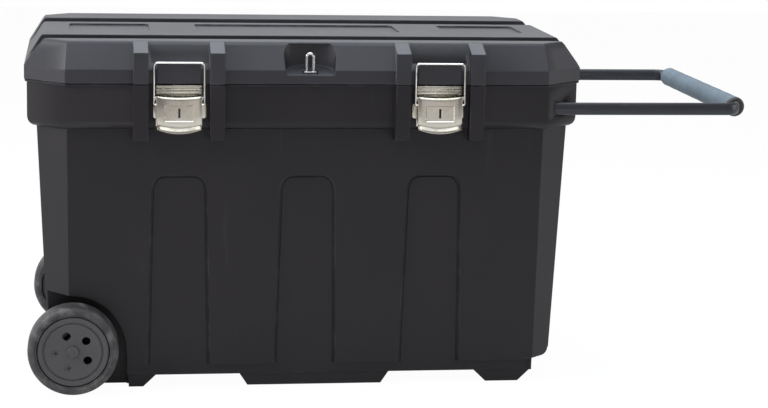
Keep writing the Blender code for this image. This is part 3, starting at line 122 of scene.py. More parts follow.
class Sheet:
    """A node tree, with one method that adds any node and wires for their outputs."""

    def __init__(self, tree: bpy.types.NodeTree, coordinates: str) -> None:
        """Take the tree, and the coordinates that its patterns lie on."""
        self.tree = tree
        self.place = self.node("ShaderNodeTexCoord", {}, {}, coordinates)

    def node(self, kind: str, settings: dict, values: dict, output: str | int = 0) -> Wire:
        """Add any node.

        Args:
            kind: the node's type.
            settings: its own settings, set first.
            values: values or wires of its sockets, by name or number.
            output: the output that is returned.

        Returns:
            The wire of that output.
        """
        added = self.tree.nodes.new(kind)
        for name, setting in settings.items():
            setattr(added, name, setting)
        for name, value in values.items():
            self.feed(added.inputs[name], value)
        return Wire(self, added.outputs[output])

    def feed(self, socket: bpy.types.NodeSocket, value: Wire | float | Sequence[float]) -> None:
        """Link or set one input.

        Args:
            socket: the input.
            value: what it gets.
        """
        if isinstance(value, Wire):
            self.tree.links.new(value.socket, socket)
        else:
            socket.default_value = value

    def is_ray(self, kind: str) -> Wire:
        """1 where the ray is of a kind that Light Path names."""
        return self.node("ShaderNodeLightPath", {}, {}, kind)

    def is_mirrored(self) -> Wire:
        """1 where the ray comes by way of gloss or glass."""
        return self.is_ray("Is Glossy Ray") + self.is_ray("Is Transmission Ray")

    def between(self, value: Wire, low: float, high: float) -> Wire:
        """A value mapped smoothly from low and high to 0 and 1, and held there."""
        return self.node("ShaderNodeMapRange", {"interpolation_type": "SMOOTHSTEP"},
                         {"Value": value, "From Min": low, "From Max": high})

    def blend(self, share: Wire | float, first: Wire | Colour, second: Wire | Colour) -> Wire:
        """A mix of two colours, with this share of the second."""
        ends = [c if isinstance(c, Wire) else (*c, 1.0) for c in (first, second)]
        return self.node("ShaderNodeMix", {"data_type": "RGBA"}, {0: share, 6: ends[0], 7: ends[1]}, 2)

    def toned(self, share: Wire, colour: Colour, tones: Pair) -> Wire:
        """A colour that runs from one tone of itself to another."""
        return self.blend(share, *(tuple(c * tone for c in colour) for tone in tones))

    def show(self, share: Wire, first: Wire, second: Wire, output: str) -> None:
        """Mix two shaders into the tree's output node of that name."""
        mix = self.node("ShaderNodeMixShader", {}, {0: share, 1: first, 2: second})
        self.feed(self.tree.nodes[output].inputs["Surface"], mix)


class ShaderSheet(Sheet):
    """The node tree of one material, with its Principled shader."""

    edge_samples = 6
    flat_cosine = 0.995
    edge_cosine = 0.75

    def __init__(self, name: str) -> None:
        """Start an empty material.

        Args:
            name: the material's name.
        """
        self.material = bpy.data.materials.new(name)
        self.material.use_nodes = True
        super().__init__(self.material.node_tree, "Object")
        self.shader = self.tree.nodes["Principled BSDF"]

    def rounded_normal(self, radius: float) -> Wire:
        """The normal of an edge rounded by a radius."""
        return self.node("ShaderNodeBevel", {"samples": self.edge_samples}, {"Radius": radius})

    def worn_edges(self, radius: float) -> Wire:
        """Find how near a point is to an edge.

        Args:
            radius: how far from an edge its wear reaches.

        Returns:
            0 on a flat face and up to 1 on a sharp edge.
        """
        soft = self.rounded_normal(radius)
        hard = self.node("ShaderNodeNewGeometry", {}, {}, "Normal")
        facing = self.node("ShaderNodeVectorMath", {"operation": "DOT_PRODUCT"}, {0: soft, 1: hard}, "Value")
        return self.between(facing, self.flat_cosine, self.edge_cosine)

    def bump(self, height: Wire, strength: float, distance: float, normal: Wire | None = None) -> Wire:
        """Add a bumped normal.

        Args:
            height: the height's pattern.
            strength: how much of it is used.
            distance: how high it is, in metres.
            normal: the normal that it lies on.

        Returns:
            The new normal.
        """
        values = {"Height": height, "Strength": strength, "Distance": distance}
        if normal:
            values["Normal"] = normal
        return self.node("ShaderNodeBump", {}, values)

    def finish(self, **inputs: Wire | float | Sequence[float]) -> bpy.types.Material:
        """Feed the Principled shader.

        Args:
            inputs: its sockets, with underscores for spaces.

        Returns:
            The finished material.
        """
        for name, value in inputs.items():
            self.feed(self.shader.inputs[name.replace("_", " ")], value)
        return self.material


@dataclass(frozen=True)
class Pattern:
    """A noise: features for each metre, alike or by axis, octaves, and the band that it is cut to."""

    scale: float | Point
    detail: float
    band: Pair | None = None
    rough: float = 0.5

    def on(self, sheet: Sheet) -> Wire:
        """Add the pattern to a tree.

        Args:
            sheet: the tree.

        Returns:
            The noise, around 0.5, or 0 to 1 across the band.
        """
        place, scale = sheet.place, self.scale
        if isinstance(scale, tuple):
            place, scale = sheet.node("ShaderNodeMapping", {}, {"Vector": place, "Scale": scale}), 1.0
        noise = sheet.node("ShaderNodeTexNoise", {}, {"Vector": place, "Scale": scale, "Detail": self.detail,
                                                      "Roughness": self.rough})
        return sheet.between(noise, *self.band) if self.band else noise


# Finishes

@dataclass(frozen=True)
class MouldedPlastic:
    """Moulded plastic with a fine spark-eroded grain, mottling, streaks of dust and rubbed edges."""

    name: str
    colour: Colour
    dust: Colour = (0.16, 0.16, 0.17)
    roughness: float = 0.42
    edge_radius: float = 0.0012
    specular: float = 0.30
    grain: Pattern = Pattern(700.0, 2.0, rough=0.6)
    grain_depth: float = 0.00012
    grain_strength: float = 0.55
    grain_shine: float = 0.10
    mottle: Pattern = Pattern(7.0, 4.0, (0.3, 0.7))
    mottle_tones: Pair = (0.88, 1.12)
    mottle_shine: float = 0.06
    streaks: Pattern = Pattern((60.0, 60.0, 3.5), 5.0, (0.60, 0.78), 0.7)
    streak_share: float = 0.10
    rubs: Pattern = Pattern(30.0, 3.0, (0.45, 0.62))
    rub_share: float = 0.25

    def make(self) -> bpy.types.Material:
        """Build the material.

        Returns:
            The material.
        """
        s = ShaderSheet(self.name)
        mottle = self.mottle.on(s)
        fine = self.grain.on(s)
        streaks = self.streaks.on(s)
        edges = s.worn_edges(self.edge_radius * 2)
        rubbed = self.rubs.on(s) * edges
        body = s.toned(mottle, self.colour, self.mottle_tones)
        body = s.blend(streaks * self.streak_share, body, self.dust)
        body = s.blend(rubbed * self.rub_share, body, self.dust)
        shine = (self.roughness + mottle * self.mottle_shine + (fine - 0.5) * self.grain_shine +
                 streaks * self.streak_share)
        normal = s.bump(fine, self.grain_strength, self.grain_depth, s.rounded_normal(self.edge_radius))
        return s.finish(Base_Color=body, Roughness=shine, Normal=normal, Specular_IOR_Level=self.specular)


@dataclass(frozen=True)
class PlatedSteel:
    """Nickel-plated pressed steel with rolling lines, warm clouds and dull spots."""

    name: str
    colour: Colour
    roughness: float = 0.22
    lines: Pattern = Pattern((25.0, 25.0, 500.0), 3.0, rough=0.6)
    line_shine: float = 0.05
    line_strength: float = 0.10
    line_depth: float = 0.00002
    spots: Pattern = Pattern(160.0, 4.0, (0.52, 0.72))
    spot_shine: float = 0.06
    clouds: Pattern = Pattern(40.0, 2.0, (0.35, 0.7))
    cloud_share: float = 0.6
    cloud_shine: float = 0.05
    warm_tint: Colour = (0.86, 0.82, 0.72)
    edge_radius: float = 0.0004

    def make(self) -> bpy.types.Material:
        """Build the material.

        Returns:
            The material.
        """
        s = ShaderSheet(self.name)
        rolled = self.lines.on(s)
        spots = self.spots.on(s)
        cloudy = self.clouds.on(s)
        warm = tuple(c * tint for c, tint in zip(self.colour, self.warm_tint))
        body = s.blend(cloudy * self.cloud_share, self.colour, warm)
        shine = (self.roughness + (rolled - 0.5) * self.line_shine + spots * self.spot_shine +
                 cloudy * self.cloud_shine)
        normal = s.bump(rolled, self.line_strength, self.line_depth, s.rounded_normal(self.edge_radius))
        return s.finish(Base_Color=body, Roughness=shine, Metallic=1.0, Normal=normal)


@dataclass(frozen=True)
class PowderCoat:
    """Satin black powder coat with orange peel and bright rub lines along its slide."""

    name: str
    colour: Colour
    roughness: float = 0.36
    specular: float = 0.3
    peel: Pattern = Pattern(900.0, 2.0)
    peel_strength: float = 0.30
    peel_depth: float = 0.00008
    peel_shine: float = 0.08
    rubs: Pattern = Pattern((6.0, 260.0, 260.0), 4.0, (0.62, 0.74), 0.6)
    rub_colour: Colour = (0.22, 0.22, 0.23)
    rub_share: float = 0.22
    rub_shine: float = 0.12
    clouds: Pattern = Pattern(22.0, 3.0)
    cloud_tones: Pair = (0.8, 1.25)

    def make(self) -> bpy.types.Material:
        """Build the material.

        Returns:
            The material.
        """
        s = ShaderSheet(self.name)
        peel = self.peel.on(s)
        rubs = self.rubs.on(s)
        body = s.toned(self.clouds.on(s), self.colour, self.cloud_tones)
        body = s.blend(rubs * self.rub_share, body, self.rub_colour)
        shine = self.roughness + (peel - 0.5) * self.peel_shine + rubs * self.rub_shine
        normal = s.bump(peel, self.peel_strength, self.peel_depth)
        return s.finish(Base_Color=body, Roughness=shine, Normal=normal, Specular_IOR_Level=self.specular)


@dataclass(frozen=True)
class Foam:
    """Closed-cell foam with small pores, hand-worn in patches."""

    name: str
    colour: Colour
    roughness: float = 0.72
    cell_scale: float = 1400.0
    cell_wall: float = 0.25
    pore_share: float = 0.35
    pore_tone: float = 0.5
    pore_strength: float = 0.45
    pore_depth: float = 0.00015
    worn: Pattern = Pattern(18.0, 3.0, (0.4, 0.65))
    worn_tones: Pair = (0.85, 1.15)
    worn_shine: float = 0.1

    def make(self) -> bpy.types.Material:
        """Build the material.

        Returns:
            The material.
        """
        s = ShaderSheet(self.name)
        cells = s.node("ShaderNodeTexVoronoi", {"feature": "DISTANCE_TO_EDGE"},
                       {"Vector": s.place, "Scale": self.cell_scale})
        walls = s.between(cells, 0.0, self.cell_wall)
        worn = self.worn.on(s)
        body = s.toned(worn, self.colour, self.worn_tones)
        body = s.blend((1.0 - walls) * self.pore_share, body, tuple(c * self.pore_tone for c in self.colour))
        normal = s.bump(walls, self.pore_strength, self.pore_depth)
        return s.finish(Base_Color=body, Roughness=self.roughness + worn * self.worn_shine, Normal=normal)


@dataclass(frozen=True)
class Rubber:
    """Rubber or soft plastic with a matt, dusty skin."""

    name: str
    colour: Colour
    roughness: float = 0.62
    edge_radius: float = 0.0008
    dust: Colour = (0.20, 0.195, 0.185)
    dusty: Pattern = Pattern(55.0, 5.0, (0.42, 0.72), 0.65)
    dust_share: float = 0.35
    dust_shine: float = 0.15
    grain: Pattern = Pattern(1100.0, 2.0)
    grain_strength: float = 0.4
    grain_depth: float = 0.0001
    grain_shine: float = 0.08

    def make(self) -> bpy.types.Material:
        """Build the material.

        Returns:
            The material.
        """
        s = ShaderSheet(self.name)
        dust = self.dusty.on(s)
        fine = self.grain.on(s)
        body = s.blend(dust * self.dust_share, self.colour, self.dust)
        shine = self.roughness + dust * self.dust_shine + (fine - 0.5) * self.grain_shine
        normal = s.bump(fine, self.grain_strength, self.grain_depth, s.rounded_normal(self.edge_radius))
        return s.finish(Base_Color=body, Roughness=shine, Normal=normal)


class Paintbox:
    """Every finish of the toolbox, made once."""

    def __init__(self) -> None:
        """Make the materials."""
        drawn = Pattern((300.0, 300.0, 60.0), 3.0, rough=0.6)
        self.body = MouldedPlastic("charcoal_plastic", (0.0100, 0.0084, 0.0095), dust=(0.10, 0.10, 0.105),
                                   edge_radius=0.0022, specular=0.20).make()
        # The lid is the body's plastic; this lighter, bluer copy paints the sheen of the overhead light on
        # it.
        self.lid = MouldedPlastic("lid_plastic_with_painted_sheen", (0.0175, 0.0175, 0.0205), dust=(0.10, 0.10, 0.11),
                                  edge_radius=0.0030).make()
        # Near-black paint for the latch keyway: painted shade, since the slot is dark only from shadow.
        self.keyway_shade = Rubber("keyway_painted_shade", (0.004, 0.004, 0.004), 0.8).make()
        self.stop = MouldedPlastic("grey_plastic", (0.10, 0.10, 0.11)).make()
        self.wheel = MouldedPlastic("wheel_plastic", (0.050, 0.048, 0.050), roughness=0.5).make()
        self.tyre = Rubber("tyre_rubber", (0.016, 0.015, 0.016)).make()
        # The rubber of the lid's gasket, also laid on the foam sleeve's end faces as painted shade.
        self.seal = Rubber("seal_rubber", (0.02, 0.02, 0.02), 0.8).make()
        self.foam = Foam("grip_foam", (0.088, 0.118, 0.140)).make()
        self.handle = PowderCoat("satin_black", (0.016, 0.018, 0.022)).make()
        self.steel = PlatedSteel("nickel_plate", (0.43, 0.41, 0.355)).make()
        self.wire = PlatedSteel("bright_wire", (0.70, 0.69, 0.67), 0.16, drawn).make()
        self.staple = PlatedSteel("zinc_rod", (0.42, 0.42, 0.43), 0.14, drawn).make()


# Modelling by hand

def deselect() -> None:
    """Leave edit mode and deselect every object."""
    if bpy.context.object and bpy.context.object.mode != "OBJECT":
        bpy.ops.object.mode_set(mode="OBJECT")
    bpy.ops.object.select_all(action="DESELECT")


def pick(item: bpy.types.Object) -> None:
    """Select one object alone and make it active.

    Args:
        item: the object.
    """
    deselect()
    item.hide_set(False)
    item.select_set(True)
    bpy.context.view_layer.objects.active = item


def dress(item: bpy.types.Object, material: bpy.types.Material) -> None:
    """Give an object one material in place of its own."""
    item.data.materials.clear()
    item.data.materials.append(material)


def settle() -> None:
    """Move the selected object's place, turn and scale into its mesh."""
    bpy.ops.object.transform_apply(location=True, rotation=True, scale=True)


def begin(kind: str = "VERT") -> None:
    """Edit the active mesh, all of it selected.

    Args:
        kind: what is selected, VERT, EDGE or FACE.
    """
    bpy.ops.object.mode_set(mode="EDIT")
    bpy.ops.mesh.select_mode(type=kind)
    bpy.ops.mesh.select_all(action="SELECT")


def weld() -> None:
    """Merge the doubles of the mesh that is being edited, and leave all of it selected."""
    bpy.ops.mesh.select_all(action="SELECT")
    bpy.ops.mesh.remove_doubles(threshold=MERGE_DISTANCE)
    bpy.ops.mesh.select_all(action="SELECT")


def tidy_mesh() -> None:
    """Merge doubles, turn the faces outwards and leave edit mode."""
    weld()
    bpy.ops.mesh.normals_make_consistent(inside=False)
    bpy.ops.object.mode_set(mode="OBJECT")


def node_copy(node: bpy.types.Object, name: str) -> bpy.types.Object:
    """Copy a CAD node, with its triangles merged into whole faces.

    Args:
        node: the CAD node.
        name: the copy's name.

    Returns:
        The copy, active and selected.
    """
    twin = bpy.data.objects.new(name, node.data.copy())
    bpy.context.scene.collection.objects.link(twin)
    pick(twin)
    begin()
    weld()
    bpy.ops.mesh.dissolve_limited(angle_limit=math.radians(FLAT_DEG))
    bpy.ops.object.mode_set(mode="OBJECT")
    return twin


def apply(item: bpy.types.Object, kind: str, **settings: object) -> None:
    """Add one modifier to a piece and apply it.

    Args:
        item: the piece, which becomes the active one.
        kind: the modifier's type.
        settings: the modifier's own settings.
    """
    pick(item)
    change = item.modifiers.new(kind.lower(), kind)
    for name, setting in settings.items():
        setattr(change, name, setting)
    bpy.ops.object.modifier_apply(modifier=change.name)


def even_shading(item: bpy.types.Object) -> None:
    """Let the large faces of a piece rule the normals of their corners."""
    apply(item, "WEIGHTED_NORMAL", keep_sharp=True, weight=100)


def carve(item: bpy.types.Object, cutter: bpy.types.Object) -> None:
    """Cut one piece out of another and throw the cutter away."""
    apply(item, "BOOLEAN", operation="DIFFERENCE", solver="EXACT", object=cutter)
    bpy.data.objects.remove(cutter, do_unlink=True)


def soften(item: bpy.types.Object, width: float, segments: int, angle_deg: float) -> None:
    """Round every edge that is sharper than an angle."""
    apply(item, "BEVEL", width=width, segments=segments, limit_method="ANGLE",
          angle_limit=math.radians(angle_deg))


def choose(test: Callable[[object], bool], kind: str = "VERT") -> None:
    """Select what passes a test in the mesh that is being edited.

    Args:
        test: tells whether a vertex, edge or face is wanted.
        kind: which of the three it looks at.
    """
    bpy.ops.mesh.select_mode(type=kind)
    bpy.ops.mesh.select_all(action="DESELECT")
    data = bpy.context.object.data
    mesh = bmesh.from_edit_mesh(data)
    for part in {"VERT": mesh.verts, "EDGE": mesh.edges, "FACE": mesh.faces}[kind]:
        if test(part):
            part.select_set(True)
    mesh.select_flush_mode()
    bmesh.update_edit_mesh(data)


@contextmanager
def editing(item: bpy.types.Object, test: Callable[[object], bool], kind: str) -> Iterator[None]:
    """Edit a piece for a while, with what passes a test selected.

    Args:
        item: the piece.
        test: tells whether a vertex, edge or face is selected.
        kind: which of the three it looks at.
    """
    pick(item)
    begin(kind)
    choose(test, kind)
    yield
    bpy.ops.object.mode_set(mode="OBJECT")


def push(offset: Point) -> None:
    """Extrude the selection by an offset."""
    bpy.ops.mesh.extrude_region_move(TRANSFORM_OT_translate={"value": offset})


def trace(points: Sequence[Point]) -> bpy.types.Object:
    """Draw a chain of edges by extruding one vertex from point to point.

    Args:
        points: its points, the first one again at the end where the chain closes.

    Returns:
        The chain, in edit mode.
    """
    deselect()
    bpy.ops.mesh.primitive_plane_add(size=0.001, location=points[0])
    begin()
    bpy.ops.mesh.merge(type="CENTER")
    for here, there in zip(points, points[1:]):
        push(tuple(b - a for a, b in zip(here, there)))
    return bpy.context.object


def swept(points: Sequence[Point], offset: Point, times: int = 1) -> bpy.types.Object:
    """Draw a chain of edges and push it into an open sheet.

    Args:
        points: the chain's points.
        offset: how far each push goes.
        times: how many pushes there are.

    Returns:
        The sheet, in edit mode.
    """
    item = trace(points)
    bpy.ops.mesh.select_all(action="SELECT")
    for _ in range(times):
        push(offset)
    return item


def tab(outline: Sequence[Pair], across: float, offset: float) -> bpy.types.Object:
    """Fill an outline of Y and Z and push it along X.

    Args:
        outline: its corners.
        across: the X that it is drawn at.
        offset: how far it is pushed.

    Returns:
        The tab, in object mode.
    """
    points = [(across, y, z) for y, z in outline]
    item = trace(points + points[:1])
    weld()
    bpy.ops.mesh.edge_face_add()
    push((offset, 0.0, 0.0))
    tidy_mesh()
    return item


def turned(outline: Sequence[Pair], centre: Point, facing: int, steps: int) -> bpy.types.Object:
    """Turn a closed outline about an axis along Y, as on a lathe.

    Args:
        outline: radius and depth of each point, the depth measured in from the outer face.
        centre: the axis at the outer face.
        facing: the sign of Y that the outer face looks to.
        steps: how many steps go round.

    Returns:
        The turned body, in object mode.
    """
    x, y, z = centre
    points = [(x + radius, y - facing * depth, z) for radius, depth in outline]
    item = trace(points + points[:1])
    weld()
    bpy.ops.mesh.spin(steps=steps, angle=math.tau, center=centre, axis=(0.0, 1.0, 0.0))
    tidy_mesh()
    return item


def arc(centre: Pair, radius: float, start: float, end: float, steps: int) -> list[Pair]:
    """Points on an arc, from one angle in degrees to another."""
    angles = [math.radians(start + (end - start) * i / steps) for i in range(steps + 1)]
    return [(centre[0] + radius * math.cos(a), centre[1] + radius * math.sin(a)) for a in angles]


def block(low: Point, high: Point) -> bpy.types.Object:
    """Add a cube, as a start for a piece or as a cutter.

    Args:
        low: its lowest corner.
        high: its highest corner.

    Returns:
        The cube.
    """
    deselect()
    middle = tuple((a + b) / 2 for a, b in zip(low, high))
    bpy.ops.mesh.primitive_cube_add(size=1.0, location=middle, scale=tuple(b - a for a, b in zip(low, high)))
    settle()
    return bpy.context.object


def peg(centre: Point, radius: float, length: float) -> bpy.types.Object:
    """Add a cylinder along Y, as a cutter.

    Args:
        centre: its middle.
        radius: its radius.
        length: its length.

    Returns:
        The cylinder.
    """
    deselect()
    bpy.ops.mesh.primitive_cylinder_add(vertices=32, radius=radius, depth=length, location=centre,
                                        rotation=(math.pi / 2, 0.0, 0.0))
    settle()
    return bpy.context.object


def merged(*items: bpy.types.Object) -> bpy.types.Object:
    """Join several closed bodies into the first one's object.

    Args:
        items: the bodies.

    Returns:
        The first one.
    """
    pick(items[0])
    for item in items[1:]:
        item.select_set(True)
    bpy.ops.object.join()
    return items[0]


class Rod:
    """A rod bent by hand: its end face is pushed straight and swung round each bend."""

    def __init__(self, at: Point, facing: Point, radius: float, sides: int,
                 flat: Point = (1.0, 1.0, 1.0)) -> None:
        """Add the first end face.

        Args:
            at: its centre.
            facing: the direction that the rod starts in.
            radius: its radius.
            sides: how many sides it has.
            flat: stretch of the face by axis, for an oval rod.
        """
        deselect()
        turn = Vector(facing).to_track_quat("Z", "Y").to_euler()
        bpy.ops.mesh.primitive_circle_add(vertices=sides, radius=radius, fill_type="NGON",
                                          location=at, rotation=turn)
        begin("FACE")
        bpy.ops.transform.resize(value=flat)

    def straight(self, *offset: float) -> Rod:
        """Push the end face by an offset."""
        push(offset)
        return self

    def bend(self, angle_deg: float, centre: Point, axis: Point, steps: int) -> Rod:
        """Swing the end face about an axis, anticlockwise when the axis points at the eye."""
        bpy.ops.mesh.spin(steps=steps, angle=-math.radians(angle_deg), center=centre, axis=axis)
        return self

    def done(self) -> bpy.types.Object:
        """Close the mesh and leave edit mode."""
        tidy_mesh()
        return bpy.context.object


def touch_up(item: bpy.types.Object, paint: bpy.types.Material, test: Callable[[object], bool]) -> None:
    """Give some faces of a piece a second material.

    Args:
        item: the piece.
        paint: the second material.
        test: tells whether a face gets it.
    """
    item.data.materials.append(paint)
    with editing(item, test, "FACE"):
        item.active_material_index = len(item.data.materials) - 1
        bpy.ops.object.material_slot_assign()


def hang(item: bpy.types.Object, name: str, paint: bpy.types.Material, body: str, node: str,
         angle_deg: float = 30.0) -> None:
    """Finish a piece: its place in its mesh, its name, material, body and replaced node.

    Args:
        item: the piece.
        name: its name.
        paint: its material.
        body: the body that it rides on.
        node: the CAD node that it stands for.
        angle_deg: edges sharper than this stay sharp.
    """
    pick(item)
    settle()
    item.name = name
    item.data.name = name
    bpy.ops.object.shade_smooth_by_angle(angle=math.radians(angle_deg))
    dress(item, paint)
    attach(item, body)
    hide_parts(node)
    log.info("%s: %d faces", name, len(item.data.polygons))


# Sub-assemblies

@dataclass
class Shells:
    """The tub and the lid: the CAD's own shapes with panel grooves and rounded ridges."""

    paints: Paintbox
    nodes: dict[str, bpy.types.Object]
    smooth_deg: float = 20.0
    panel_pitch: float = 0.2196
    panel_halves: Point = (0.0249, 0.0454, 0.0516)
    panel_top: float = 0.3732
    panel_drop: float = 0.0256
    panel_foot: float = 0.0392
    groove_width: float = 0.0042
    groove_depth: float = 0.0046
    groove_reach: float = 0.0120
    wall_draft: float = 0.043
    wall_foot: float = 0.2351
    ridge_length: float = 0.060
    ridge_angle: float = 0.35
    ridge_low: float = 0.5900
    ridge_round: float = 0.0022
    level_slack: float = 0.0001
    upward: float = 0.3
    steep: float = 0.2
    recess_half: float = 0.046
    recess_back: float = -0.2300
    recess_front: float = -0.2740
    recess_low: float = 0.5450

    def make(self) -> None:
        """Build both shells."""
        tub = node_copy(self.nodes["tub"], "tub_moulding")
        for facing in (-1, 1):
            for column in (-1, 0, 1):
                carve(tub, self.panel_groove(column * self.panel_pitch, facing))
        hang(tub, "tub_moulding", self.paints.body, "tub", "tub", self.smooth_deg)
        even_shading(tub)
        lid = node_copy(self.nodes["lid"], "lid_moulding")
        # The lid's lighter, bluer copy of the body plastic is a painted sheen.
        hang(lid, "lid_moulding", self.paints.lid, "lid", "lid", self.smooth_deg)
        self.round_ridges(lid)
        self.flatten_recess(lid)
        even_shading(lid)

    def on_ridge(self, edge: object) -> bool:
        """Tell whether an edge is a long, level and convex one of the lid's top."""
        low, high = sorted(v.co.z for v in edge.verts)
        return (edge.is_convex and edge.is_manifold and edge.calc_length() > self.ridge_length and
                edge.calc_face_angle() > self.ridge_angle and low > self.ridge_low and
                high - low < self.level_slack and sum(f.normal.z for f in edge.link_faces) > self.upward)

    def round_ridges(self, lid: bpy.types.Object) -> None:
        """Round the long upper edges of the lid's ridges, middle panel and slopes."""
        with editing(lid, self.on_ridge, "EDGE"):
            bpy.ops.mesh.bevel(offset=self.ridge_round, segments=3, affect="EDGES", clamp_overlap=True)

    def in_recess(self, face: object) -> bool:
        """Tell whether a face belongs to the upright wall of the padlock recess."""
        x, y, z = face.calc_center_median()
        return (abs(x) < self.recess_half and self.recess_back > y > self.recess_front and
                z > self.recess_low and abs(face.normal.z) < self.steep)

    def flatten_recess(self, lid: bpy.types.Object) -> None:
        """Shade the facets of the padlock recess's curved wall one by one."""
        with editing(lid, self.in_recess, "FACE"):
            bpy.ops.mesh.faces_shade_flat()

    def panel_groove(self, centre: float, facing: int) -> bpy.types.Object:
        """Make the cutter of the groove round one arched panel, leaning with the drafted wall.

        Args:
            centre: the panel's centre line.
            facing: the sign of Y of its wall.

        Returns:
            The cutter.
        """
        half_top, half_shoulder, half_foot = self.panel_halves
        shoulder = self.panel_top - self.panel_drop
        curve = [(half_top + (half_shoulder - half_top) * math.sin(math.radians(a)),
                  shoulder + self.panel_drop * math.cos(math.radians(a))) for a in range(0, 91, 15)]
        line = [(half_foot, self.panel_foot)] + curve[::-1]
        line = line + [(-x, z) for x, z in reversed(line)]
        cutter = swept([(centre + x, 0.0, z) for x, z in line], (0.0, self.groove_reach, 0.0))
        tidy_mesh()
        apply(cutter, "SOLIDIFY", thickness=self.groove_width, offset=0.0, use_even_offset=True)
        settle()
        cutter.rotation_euler = (math.atan(self.wall_draft), 0.0, 0.0)
        cutter.location = (0.0, -(self.wall_foot + self.groove_reach - self.groove_depth), 0.0)
        settle()
        if facing > 0:
            begin()
            bpy.ops.transform.mirror(constraint_axis=(False, True, False), center_override=(0.0, 0.0, 0.0))
            tidy_mesh()
        return cutter


@dataclass
class Fittings:
    """The CAD nodes, each in the finish of its kind."""

    paints: Paintbox
    nodes: dict[str, bpy.types.Object]

    def make(self) -> None:
        """Dress every node but the two shells, in steel where its kind isn't named."""
        paints = self.paints
        kinds = {"lid_seal": paints.seal, "handle_guide": paints.body, "handle_stop": paints.stop,
                 "wheel_hub": paints.wheel, "wheel_tyre": paints.tyre, "axle_cap": paints.wheel,
                 "foam_grip": paints.foam, "handle_frame": paints.handle}
        for name, item in self.nodes.items():
            if name not in ("tub", "lid"):
                found = [paint for stem, paint in kinds.items() if name.startswith(stem)]
                dress(item, found[0] if found else paints.steel)
        log.info("dressed %d CAD nodes", len(self.nodes) - 2)


